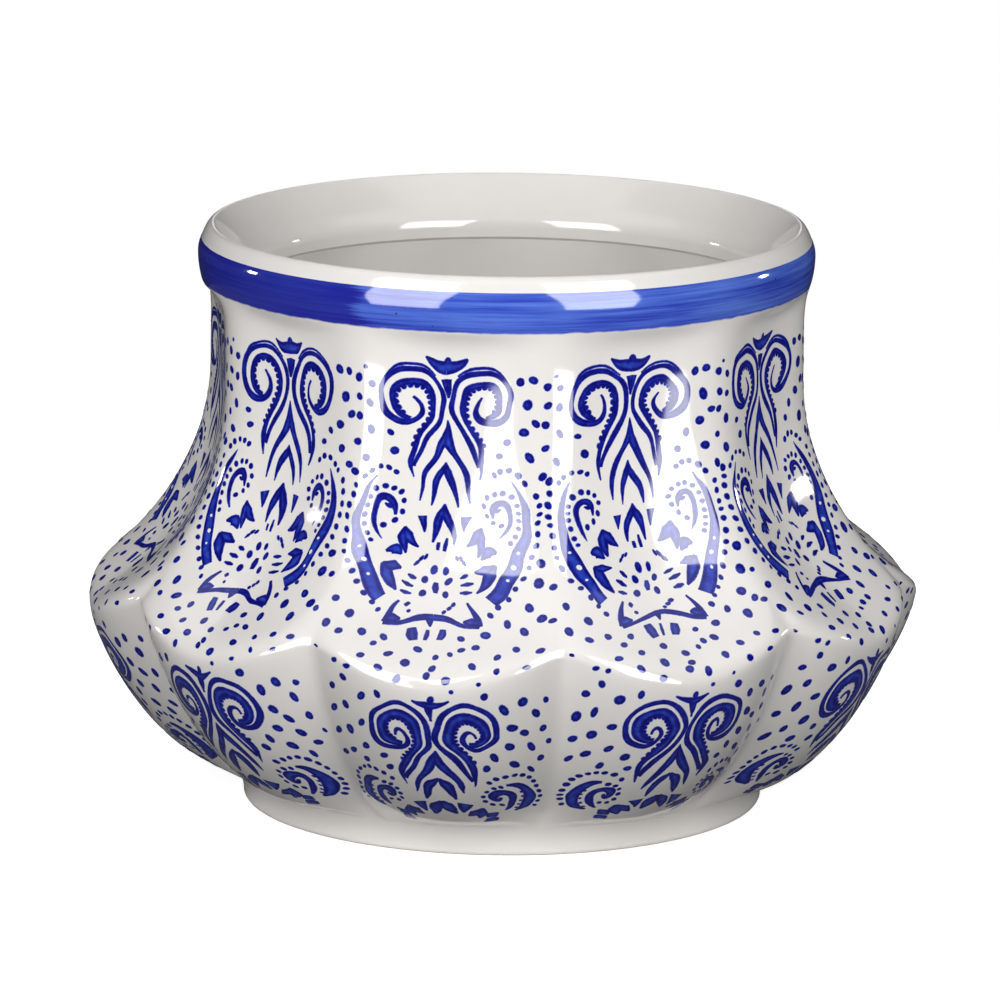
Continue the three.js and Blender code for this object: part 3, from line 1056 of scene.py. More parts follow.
class UpperMotif:
    """The neck's ornament: volutes, spear, lotus, crescents and dots, up from the belly's widest line."""

    VOLUTE = [
        Stroke(((-8.9, 67), (-8, 71), (-6.4, 74), (-4.4, 77), (-2.4, 80), (-1.2, 83), (-1, 86), (-1.6, 88.8),
                (-3.5, 91.9), (-6.6, 94), (-10.3, 94.5), (-13.6, 93.4), (-16.4, 90.9), (-17.6, 87.5),
                (-17.3, 84.2), (-15.7, 81.3), (-13.2, 79.7), (-10.3, 79.5), (-8, 80.8), (-6.9, 83),
                (-7.3, 85.5), (-9.2, 87.4)),
               (1.0, 1.1, 1.2, 1.2, 1.1, 1.1, 1.2, 1.3, 1.6, 1.3, 0.5)),
        Stroke(((-17.4, 89), (-15.2, 93.3), (-10.8, 95.7), (-6.4, 95.1), (-3.2, 92.6)),
               (0.4, 0.6, 0.6, 0.6, 0.4)),
        Stroke(((-8.9, 63.8), (-9.9, 68), (-9.6, 72.5), (-7.7, 76), (-5.6, 79.3), (-4.2, 82.5), (-3.9, 85.5),
                (-4.6, 88.3), (-6.5, 90.7), (-9.3, 91.5), (-12.2, 90.8), (-14, 88.8), (-14.6, 86),
                (-14, 83.2), (-12.4, 81.3), (-10.5, 80.7)),
               (0.3, 1.3, 1.2, 1.1, 1.3, 1.4, 1.5, 1.4, 1.5, 1.2), 0.72),
    ]
    SPEAR = [
        Stroke(((0, 80.3), (0, 77.5), (-0.5, 74.5), (-2.2, 71.3), (-4.2, 68), (-5.8, 64.5), (-6.4, 61),
                (-6.5, 58.2)),
               (0.3, 1.6, 2.2, 1.6, 1.4, 1.2, 0.9, 0.3)),
        Stroke(((0, 68.3), (-0.3, 66.3), (-1.4, 64.3), (-2.7, 61.5), (-3.2, 57.2)),
               (0.3, 1.6, 1.6, 1.1, 0.3)),
    ]
    CROWN = [
        Stroke(((0, 95), (-2.5, 95.1), (-4.2, 95.9), (-5.9, 97.3)), (2.9, 2.5, 1.6, 0.4)),
        Stroke(((-0.6, 92.2), (-0.4, 90.2), (-0.1, 87)), (1.7, 1.3, 0.3)),
    ]
    LOTUS = [
        Stroke(((0, 57.5), (-0.4, 55), (-1.5, 52.8), (-2.3, 50), (-2.5, 46.2)), (0.3, 1.8, 1.9, 1.2, 0.4)),
        Stroke(((-5.6, 54.7), (-5.4, 52.6), (-5.2, 50)), (2.4, 1.4, 0.3)),
        Stroke(((-10.5, 51.3), (-9.4, 48.6), (-7.8, 46.6), (-6.1, 45.4)), (0.4, 2.6, 2.0, 0.4)),
        Stroke(((-10.5, 51.3), (-10.7, 48), (-10.6, 45.5), (-10.2, 43)), (0.4, 2.4, 2.1, 0.4)),
        Stroke(((-15.2, 44.3), (-13.2, 45), (-11.2, 42.6)), (0.6, 3.1, 0.4)),
        Stroke(((-15.4, 40.9), (-13.3, 39.7), (-10.2, 39)), (0.6, 2.7, 0.4)),
        Stroke(((-15.4, 40.9), (-14.5, 38), (-13.2, 35), (-11.2, 32.6)), (0.6, 2.9, 2.1, 0.4)),
        Stroke(((-7.3, 40.2), (-5.8, 41.7)), (0.4, 0.9, 0.4)),
        Stroke(((-6.3, 41.2), (-4.9, 42.8)), (0.4, 0.9, 0.4)),
        Stroke(((-4.8, 41.6), (-3.8, 43.1)), (0.4, 0.8, 0.4)),
        Stroke(((-8.1, 37.8), (-5.6, 36.4)), (0.4, 1.1, 0.4)),
        Stroke(((-10, 35.7), (-6.4, 34.2)), (0.4, 1.1, 0.4)),
        Stroke(((-10.1, 32.9), (-6.8, 31.9)), (0.4, 1, 0.4)),
        Stroke(((-9.2, 29.7), (-11, 27), (-12, 24.8), (-12.7, 22.5)), (0.6, 1.0, 1.4, 1.2)),
        Stroke(((-12.8, 22.4), (-8, 22.9), (-4, 24), (-1.2, 24.9), (0, 24.8)), (1.2, 1.1, 1.2, 1.5, 1.6)),
        Stroke(((-12.1, 23.7), (-10.4, 24.1), (-8.4, 24.1)), (1.8, 2.4, 0.5)),
    ]
    LOTUS_SINGLE = [
        Stroke(((-1.1, 46.3), (-1.1, 44)), (0.6, 0.8, 0.6)),
        Stroke(((0.6, 47.9), (0.6, 44)), (0.4, 0.8, 0.7)),
        Stroke(((-0.4, 35.3), (-0.5, 31.9)), (0.9, 1.6, 0.9)),
        Stroke(((2, 26), (3, 26.6)), (0.7, 1, 0.6)),
        Stroke(((3.1, 26.9), (4.3, 27.7)), (0.7, 1, 0.6)),
        Stroke(((4.2, 27.9), (5.4, 28.9)), (0.7, 1, 0.6)),
        Stroke(((-7.3, 29), (-6.4, 28)), (0.9, 1.2, 0.9)),
        Stroke(((-0.8, 23.9), (-0.8, 21.8)), (1.8, 1.2, 0.3)),
        Stroke(((-5.3, 21), (-4.8, 18.6), (-4.2, 16.6)), (1.6, 2.2, 1.7)),
        Stroke(((-1.4, 20.8), (-1.5, 17)), (0.7, 1.0, 0.7)),
        Stroke(((2.9, 20.8), (2.6, 18.6), (2.2, 16.8)), (1.5, 2.1, 1.5)),
    ]
    CRESCENT = [
        Stroke(((-18, 64.2), (-20.4, 59.8), (-21.9, 55.5), (-22.1, 50.5), (-21.2, 45.5), (-19.9, 41.4),
                (-19.2, 38), (-17.5, 34), (-15, 30.3)), (0.2, 1.1, 1.6, 2.1, 2.7, 3.2, 3.2, 3.1, 3.0)),
        Stroke(((-15.9, 48.2), (-17.3, 51), (-18, 54), (-17.8, 57), (-16.6, 59.1), (-14.9, 59.4),
                (-13.4, 58.3), (-12.9, 56.4), (-13.2, 54.6)), (0.2, 0.7, 0.9, 1.0, 1.1, 1.4, 1.7, 1.5, 0.5)),
        Stroke(((-13.4, 57.6), (-14.6, 56.6), (-15.6, 57.3)), (1.4, 1.2, 0.4)),
    ]
    EYES = beads(0.45, (20.9, 45.3), (18.9, 37.2)) + beads(0.7, (19.6, 41.2))
    DOTS = [
        Dot(0.1, 96.6, 1.0, 1.2), Dot(-1.8, 38.7, 0.85, 1.5, 0.1), Dot(1.2, 38.9, 0.85, 1.5, -0.1),
        Dot(-3.4, 35.8, 0.95, 1.3, -0.4), Dot(2.6, 35.8, 0.95, 1.3, 0.3), Dot(-3.9, 31.6, 1.0, 1.2, 0.2),
        Dot(2.4, 31.6, 1.0, 1.2, -0.2), Dot(-6.2, 26.2, 0.55), Dot(-11.7, 17.9, 1.1), Dot(8.4, 18, 1.15),
    ]
    BEADS = [
        *beads(0.75, (17.7, 60.5), (15.5, 61.5), (13.5, 61.2), (11.6, 60.1), (10.7, 57.8), (11.4, 55.2),
               (13.2, 53.3), (15.5, 52)),
        *beads(0.8, (21.2, 64.3), (19.7, 65.8), (17.5, 66.9), (15.3, 66.8), (13.5, 65.8)),
        *beads(0.65, (19.2, 58.3), (19.8, 56.2), (20, 54), (19.8, 51.7), (19.3, 49.3), (18.6, 47.4)),
        *beads(0.82, (23.8, 61.5), (24.5, 58.8), (25, 56), (25.1, 53.3), (25.1, 50.2), (25, 47.1), (24.6, 44),
               (23.8, 41), (22.6, 37.8), (21, 34.8), (19, 31.8), (16.9, 29.1), (15.2, 26.4)),
    ]
    FIELD = [
        Dot(19.8, 92.2, 1.2, 1.1), Dot(23.3, 92.7, 1.15), Dot(26.8, 91, 1.1, 1.2), Dot(30.3, 90, 1.05),
        Dot(22, 85.3, 1.1, 1.3), Dot(26.7, 85.6, 1.1), Dot(29.8, 84.7, 1.0, 1.2), Dot(24, 80.7, 1.1),
        Dot(26.5, 80.3, 1.05), Dot(21, 77.8, 1.2), Dot(17.1, 75, 1.15), Dot(30.1, 77.3, 1.0, 1.3),
        Dot(26.4, 73.4, 1.1), Dot(14.6, 71, 0.95), Dot(22.2, 70.8, 1.15, 1.2), Dot(29.3, 69.6, 1.1),
        Dot(25.2, 66.2, 1.15), Dot(27.1, 64.9, 1.05), Dot(28.6, 94, 0.55), Dot(-14.1, 71.6, 1.0),
        Dot(-15.3, 76.2, 0.95), Dot(27.2, 42.6, 1.3), Dot(26.7, 36.8, 1.25, 1.2), Dot(30.2, 36, 1.0),
        Dot(24.8, 29.6, 1.3), Dot(28.4, 26.9, 1.25, 1.2), Dot(31, 25.8, 1.1), Dot(19.8, 24.3, 1.1, 1.5),
        Dot(24.8, 21.6, 1.3, 1.2), Dot(14.7, 19.4, 1.25, 1.1), Dot(12.4, 14.3, 1.05), Dot(18.9, 11.8, 1.05),
        Dot(12.9, 7.8, 1.15), Dot(20.3, 6.6, 0.9, 1.4), Dot(6.9, 3.2, 1.15), Dot(2.2, 6, 1.05),
        Dot(1, 3.9, 1.1), Dot(2, 9.8, 1.1), Dot(-3.2, 13, 1.2), Dot(-5.5, 7.6, 1.2, 1.1),
        Dot(-7.5, 2.5, 1.05, 1.3), Dot(-10, 11.6, 1.15), Dot(-12.6, 6, 1.2), Dot(-17.3, 10.7, 1.2),
        Dot(-18, 19.6, 1.25), Dot(-23.8, 19, 1.05), Dot(-21.6, 24.6, 1.1, 1.3),
        Dot(-27.8, 21.5, 1.3, 1.3, 0.5), Dot(-26.2, 30, 1.2), Dot(-24.9, 7, 0.9, 1.8, 0.4),
        Dot(-21.6, 5.4, 0.8, 1.6, 0.5), Dot(-24.2, 0.8, 1.05), Dot(8.4, -0.2, 0.6), Dot(15.2, 2.4, 0.65),
        Dot(9.2, 13.4, 1.0), Dot(27.5, 8.6, 1.0), Dot(30, 14.6, 1.1), Dot(-30.6, 12.8, 1.0),
        Dot(-14.6, 15.4, 0.9), Dot(6.6, 11.5, 0.9), Dot(24.2, 14.9, 1.1),
    ]


class LowerMotif:
    """The bowl's ornament: wide volutes, arch, beaded crooks and dots, down from the belly's widest line."""

    VOLUTE = [
        Stroke(((-9.6, -31.5), (-8.2, -28.6), (-6.5, -26), (-4.4, -23), (-2.2, -20), (-0.9, -17),
                (-0.7, -14.2), (-1.2, -11.5), (-2.8, -8.2), (-5.6, -5.3), (-9.2, -4.2), (-13, -5),
                (-16.1, -7.6), (-17.7, -11.2), (-17.6, -14.8), (-15.9, -17.8), (-13.2, -20), (-10.2, -20.1),
                (-8, -18.4), (-7.1, -15.8), (-7.8, -13.1), (-9.6, -12), (-11.2, -13.2), (-10.9, -15.1)),
               (1.2, 1.4, 1.4, 1.4, 1.3, 1.2, 1.2, 1.4, 1.5, 1.3, 1.1, 0.6)),
        Stroke(((-9.7, -34), (-10.7, -30.5), (-10.5, -27.4), (-8.6, -24.2), (-6.2, -21), (-4.6, -18),
                (-3.9, -14.5), (-4.4, -11.3), (-6.2, -8.8), (-9.3, -7.7), (-12.4, -8.6), (-14.4, -10.9),
                (-14.8, -14), (-13.5, -16.7), (-11.2, -18.2), (-9.2, -17.9)),
               (0.3, 1.6, 1.9, 2.2, 2.3, 2.4, 2.4, 2.4, 2.2, 1.8), 0.75),
    ]
    SPEAR = [
        Stroke(((0, -20), (-0.2, -22.5), (-0.9, -25), (-2.4, -27.3), (-4.2, -30), (-5.9, -33.4),
                (-6.8, -37.3)),
               (0.3, 1.8, 2.2, 1.9, 1.6, 1.4, 0.3)),
        Stroke(((0, -30.5), (-0.8, -31.8), (-2.3, -33.4), (-3.4, -36.5), (-3.7, -40.8)),
               (0.6, 2.2, 2.2, 1.8, 0.4)),
    ]
    CROWN = [
        Stroke(((0.4, -5), (-1.8, -4.6), (-3.4, -3.9), (-5.2, -2.9)), (2.0, 1.6, 1.0, 0.4)),
        Stroke(((-0.6, -5), (-0.3, -7), (0.2, -9.6)), (1.4, 1.2, 0.3)),
    ]
    LOTUS = [
        Stroke(((-0.2, -41), (-0.8, -43), (-2, -45.3), (-2.8, -48.8)), (0.6, 2.8, 2.6, 0.6)),
        Stroke(((-6, -42.6), (-5.6, -45), (-5, -47.8)), (3.6, 2.4, 0.4)),
        Stroke(((-10.6, -45.2), (-8.8, -47.8), (-5.6, -50.2)), (0.6, 3.2, 0.5)),
        Stroke(((-10.6, -45.2), (-10.2, -48.8), (-8.4, -52.4)), (0.6, 3.4, 0.5)),
        Stroke(((-14.6, -48.8), (-12.8, -50.4), (-10.8, -52.6)), (0.6, 3.1, 0.5)),
        Stroke(((-13.6, -52.6), (-11.8, -54.6), (-9.8, -56.6)), (0.8, 3.0, 0.5)),
    ]
    CROOK = [
        Stroke(((-18.6, -34.2), (-20.8, -34.3), (-23.1, -36.2), (-24.3, -39.5), (-23.8, -43.3),
                (-21.5, -46.6), (-18.6, -48.4)), (0.7, 2.0, 2.9, 3.2, 2.9, 2.2, 0.8)),
        Stroke(((-16.2, -47.2), (-18.3, -44.5), (-19.6, -41.6), (-19.6, -39), (-18.2, -37.3), (-16.1, -37.1),
                (-14.4, -38.7), (-14.2, -40.9), (-15.4, -42.2), (-16.9, -41.2), (-16.6, -39.8)),
               (0.5, 1.2, 1.6, 1.6, 1.7, 1.9, 2.3, 2.2, 1.6, 1.1, 0.6)),
    ]
    DOTS = [Dot(0.4, -3, 0.95, 1.2)]
    BEADS = [
        *beads(0.85, (14.3, -33), (16.5, -31.2), (18.8, -30.3), (21.1, -30.1), (23.2, -30.7), (25.1, -31.9),
               (26.5, -33.7), (27.3, -36), (27.6, -38.6), (27.4, -41.2), (26.7, -43.8), (25.4, -46.4)),
        *beads(0.75, (17, -35), (15, -35.7), (13.1, -37.3), (12.1, -39.5), (12.1, -41.8), (13.6, -43.6),
               (16, -43.8)),
        *beads(0.5, (21.8, -38.4), (22, -40.6), (21.4, -42.7), (20.4, -44.7), (19.2, -46.5)),
    ]
    FIELD = [
        Dot(15, -1.6, 1.1), Dot(20, -5.6, 1.3, 1.2), Dot(24.9, -3.6, 1.3, 1.1, -0.3),
        Dot(28.6, -7.4, 1.4, 1.2, -0.5), Dot(21.6, -11.8, 1.25, 1.3, -0.7), Dot(25, -14.8, 1.2, 1.3, -0.6),
        Dot(30.5, -13.4, 1.3, 1.1), Dot(20.4, -19.1, 1.25, 1.2, -0.6), Dot(26.6, -19.9, 1.2, 1.2, -0.5),
        Dot(16.5, -23.1, 1.25, 1.2, -0.4), Dot(29.6, -24, 1.2), Dot(21.7, -25.7, 1.2, 1.3, -0.6),
        Dot(13.8, -27, 1.2, 1.2, -0.3), Dot(26.2, -28.2, 1.15, 1.2, -0.5), Dot(-20.8, -3.5, 1.35),
        Dot(-15.2, -2, 1.1, 1.1), Dot(-26.7, -7.5, 1.3, 1.2, 0.3), Dot(-31.2, -9.4, 1.2, 1.2, 0.3),
        Dot(-21.2, -12.7, 1.2, 1.1, 0.4), Dot(-25.7, -15.6, 1.4, 1.1, 0.4), Dot(-30.8, -17.4, 1.2, 1.2, 0.5),
        Dot(-20.6, -20.9, 1.25, 1.2, 0.5), Dot(-25.6, -23.4, 1.2, 1.2, 0.5),
        Dot(-15.2, -23.6, 1.25, 1.1, 0.4), Dot(-29.6, -25.8, 1.15, 1.3, 0.6), Dot(-20.9, -27, 1.15, 1.2, 0.5),
        Dot(-13.8, -28.6, 1.15, 1.1, 0.5), Dot(31.4, -3.2, 1.0), Dot(-30.4, -2.2, 1.0), Dot(33, -18.8, 0.9),
    ]


class Flat:
    """A flat drawing of lines and dots in mm, which knows how far in from its edges each point lies."""

    INSET = "inset"
    BEVEL_STEPS = 2
    DOT_SEGMENTS = 10
    DOT_RINGS = 6
    UNDERSIDE = -1e-4

    def __init__(self, skirt: float, weight: float) -> None:
        """Starts an empty drawing.

        Args:
            skirt: How far the bled edge reaches past a line or dot, in mm.
            weight: Scale of the lines' widths.
        """
        self.skirt = skirt
        self.weight = weight
        self.bm = bmesh.new()
        self.layer = self.bm.verts.layers.float.new(self.INSET)

    def lines(self, courses: list[np.ndarray]) -> None:
        """Adds lines, each a tube that thins where the stroke does.

        Args:
            courses: Rows of across, up and width for each line.
        """
        curve = bpy.data.curves.new("flat", "CURVE")
        curve.dimensions = "3D"
        curve.twist_mode = "Z_UP"
        curve.bevel_depth = 1.0
        curve.bevel_resolution = self.BEVEL_STEPS
        radii = [course[:, 2] / 2 * self.weight + self.skirt for course in courses]
        for course, radius in zip(courses, radii):
            spline = curve.splines.new("POLY")
            spline.points.add(len(course) - 1)
            places = np.column_stack([course[:, :2], np.zeros(len(course)), np.ones(len(course))])
            spline.points.foreach_set("co", places.ravel())
            spline.points.foreach_set("radius", radius)
        holder = bpy.data.objects.new("flat", curve)
        bpy.context.scene.collection.objects.link(holder)
        graph = bpy.context.evaluated_depsgraph_get()
        mesh = bpy.data.meshes.new_from_object(holder.evaluated_get(graph))
        middles, reach = np.concatenate(courses)[:, :2], np.concatenate(radii)
        ring = len(mesh.vertices) // len(middles)
        away = np.hypot(*(vertex_places(mesh)[:, :2] - np.repeat(middles, ring, axis=0)).T)
        layer = mesh.attributes.new(self.INSET, "FLOAT", "POINT")
        layer.data.foreach_set("value", np.clip(np.repeat(reach, ring) - away, 0, None))
        self.bm.from_mesh(mesh)
        bmesh.ops.holes_fill(self.bm, edges=self.bm.edges, sides=0)
        bpy.data.objects.remove(holder)
        bpy.data.curves.remove(curve)
        bpy.data.meshes.remove(mesh)

    def dot(self, dot: Dot, size: float, lean: float) -> None:
        """Adds a dot.

        Args:
            dot: Its place and stretch.
            size: Half its width without the bled edge, in mm.
            lean: Its lean in radians.
        """
        size += self.skirt
        shape = Matrix.Translation((dot.across, dot.up, 0)) @ Matrix.Rotation(-lean, 4, "Z")
        shape = shape @ Matrix.Diagonal((size, size * dot.stretch, size, 1))
        made = bmesh.ops.create_uvsphere(self.bm, u_segments=self.DOT_SEGMENTS, v_segments=self.DOT_RINGS,
                                         radius=1, matrix=shape)
        back = shape.inverted()
        for vert in made["verts"]:
            vert[self.layer] = max(0.0, size * (1 - (back @ vert.co).to_2d().length))

    def finish(self) -> tuple[bpy.types.Mesh, np.ndarray, np.ndarray]:
        """Closes the drawing.

        Returns:
            Its mesh, its points' places and how far in each lies, negative underneath.
        """
        mesh = bpy.data.meshes.new("flat")
        self.bm.to_mesh(mesh)
        self.bm.free()
        points = vertex_places(mesh)
        inset = np.empty(len(mesh.vertices))
        mesh.attributes[self.INSET].data.foreach_get("value", inset)
        return mesh, points[:, :2], np.where(points[:, 2] > self.UNDERSIDE, inset, -1)


@dataclass
class Ornament:
    """Raised cobalt lines and dots, drawn flat once and laid on each of the ten lobes."""

    form: VaseForm
    material: bpy.types.Material
    white: bpy.types.Material
    proud: float = 0.09
    eye_lift: float = 0.12
    edge_depth: float = 0.05
    rise_reach: float = 0.85
    sunk: float = 0.15
    skirt: float = 0.3
    weight: float = 1.22
    upper_shift: float = -2.3
    wobble: float = 0.28
    wobble_waves: tuple[float, ...] = (31.0, 17.0, 9.0)
    dot_sizes: Pair = (0.92, 1.08)
    dot_lean: float = 0.2
    scallop_pitch: float = 1.9
    scallop_start: int = 5
    hand_seed: int = 100
    dot_seed: int = 7

    def build(self) -> None:
        """Builds and dresses every ornament piece."""
        up, low = UpperMotif, LowerMotif
        shift = self.upper_shift
        lotus = both(up.SPEAR + up.CROWN + up.LOTUS) + up.LOTUS_SINGLE
        self.piece("ornament_neck_volutes", both(up.VOLUTE), [], shift)
        self.piece("ornament_neck_lotus", lotus, up.DOTS, shift)
        self.piece("ornament_neck_crescents", both(up.CRESCENT), up.BEADS, shift)
        self.piece("ornament_neck_eyes", [], up.EYES, shift, self.eye_lift)
        self.piece("ornament_neck_dots", [], up.FIELD, shift)
        self.piece("ornament_bowl_volutes", both(low.VOLUTE), [])
        self.piece("ornament_bowl_lotus", both(low.SPEAR + low.CROWN + low.LOTUS), low.DOTS)
        self.piece("ornament_bowl_crooks", both(low.CROOK), low.BEADS)
        self.piece("ornament_bowl_dots", [], low.FIELD)

    def piece(self, name: str, strokes: list[Stroke], dots: list[Dot], shift: float = 0.0,
              lift: float = 0.0) -> None:
        """Makes one piece that holds the same drawing on every lobe.

        Args:
            name: The piece's name.
            strokes: Its lines.
            dots: Its dots.
            shift: How far the drawing stands to the side of each lobe's middle, in mm.
            lift: How much prouder than a cobalt line it is, for white marks laid on the lines, in mm.
        """
        mesh, places, inset = self.draw(strokes, dots)
        rise = np.clip(inset / self.rise_reach, 0, 1)
        dome = (self.proud + lift + self.edge_depth) * np.sin(rise * math.pi / 2) - self.edge_depth
        proud = np.where(inset >= 0, dome, -self.sunk)
        bm = bmesh.new()
        laid = []
        for lobe in range(PETALS):
            across, up = self.hand_drawn(places[:, 0] + shift, places[:, 1], lobe)
            points, normals = self.form.lay(across, up, proud, lobe * PETAL_ANGLE)
            mesh.vertices.foreach_set("co", points.ravel())
            bm.from_mesh(mesh)
            laid.append(normals)
        bpy.data.meshes.remove(mesh)
        bmesh.ops.recalc_face_normals(bm, faces=bm.faces)
        piece = new_object(name, bm)
        piece.data.normals_split_custom_set_from_vertices(np.concatenate(laid))
        if lift:
            dress(piece, self.white, "white_glaze")
        else:
            dress(piece, self.material, "cobalt_band")

    def hand_drawn(self, across: np.ndarray, up: np.ndarray, lobe: int) -> tuple[np.ndarray, np.ndarray]:
        """Moves a drawing's points by a smooth, small amount that differs from lobe to lobe.

        Args:
            across: Distances to the side in mm.
            up: Distances up the lobe in mm.
            lobe: Which lobe the drawing lies on.

        Returns:
            The moved distances.
        """
        chance = np.random.default_rng(self.hand_seed + lobe)
        moved = [across.copy(), up.copy()]
        for wave_mm in self.wobble_waves:
            for axis in (0, 1):
                direction, phase = chance.uniform(0, 2 * math.pi, 2)
                along = across * math.cos(direction) + up * math.sin(direction)
                moved[axis] = moved[axis] + self.wobble * np.sin(2 * math.pi * along / wave_mm + phase)
        return moved[0], moved[1]

    def draw(self, strokes: list[Stroke], dots: list[Dot]) -> tuple[bpy.types.Mesh, np.ndarray, np.ndarray]:
        """Makes the flat drawing of lines and dots.

        Args:
            strokes: The lines.
            dots: The dots.

        Returns:
            Its mesh, its points' places and how far in from an edge each lies.
        """
        flat = Flat(self.skirt, self.weight)
        if strokes:
            flat.lines([stroke.course() for stroke in strokes])
        bumps = [bump for stroke in strokes for bump in self.scallops(stroke)]
        chance = np.random.default_rng(self.dot_seed)
        for dot in bumps + dots:
            size = dot.radius * chance.uniform(*self.dot_sizes)
            flat.dot(dot, size, dot.lean + chance.uniform(-self.dot_lean, self.dot_lean))
        return flat.finish()

    def scallops(self, stroke: Stroke) -> list[Dot]:
        """Places the small bumps along one side of a scalloped line.

        Args:
            stroke: The line, which may have no scallops.

        Returns:
            The bumps, evenly spaced.
        """
        if not stroke.scallop:
            return []
        course = stroke.course()
        way = way_along(course[:, :2])
        ahead = np.gradient(course[:, :2], axis=0)
        ahead /= np.linalg.norm(ahead, axis=1, keepdims=True)
        pitch = self.scallop_pitch
        bumps = []
        for place in np.arange(self.scallop_start * pitch, way[-1] - pitch, pitch):
            x, y, width = (float(np.interp(place, way, course[:, i])) for i in range(3))
            dx, dy = (float(np.interp(place, way, ahead[:, i])) for i in range(2))
            side = math.copysign(0.5 * width * self.weight, stroke.scallop)
            bumps.append(Dot(x - dy * side, y + dx * side, abs(stroke.scallop)))
        return bumps


@dataclass(frozen=True)
class Lamp:
    """A soft box that faces the vase's middle, in metres and degrees.

    Its azimuth runs from the camera's side towards the camera's right, and a radiance of 1 is white. A glossy
    lamp is the face that shows in the glaze, any other the light that falls from it.
    """

    name: str
    azimuth: float
    elevation: float
    distance: float
    size: Pair
    radiance: float
    glossy: bool
    aim_height: float = 0.09

    def build(self) -> None:
        """Adds the lamp to the scene."""
        data = bpy.data.lights.new(self.name, "AREA")
        data.shape = "RECTANGLE"
        data.size, data.size_y = self.size
        data.energy = self.radiance * math.pi * self.size[0] * self.size[1]
        lamp = bpy.data.objects.new(self.name, data)
        turn, rise = CAMERA_TURN + math.radians(self.azimuth), math.radians(self.elevation)
        away = Vector((math.sin(turn) * math.cos(rise), -math.cos(turn) * math.cos(rise), math.sin(rise)))
        lamp.location = Vector((0, 0, self.aim_height)) + away * self.distance
        lamp.rotation_euler = away.to_track_quat("Z", "Y").to_euler()
        lamp.visible_diffuse = not self.glossy
        lamp.visible_glossy = self.glossy
        bpy.context.scene.collection.objects.link(lamp)


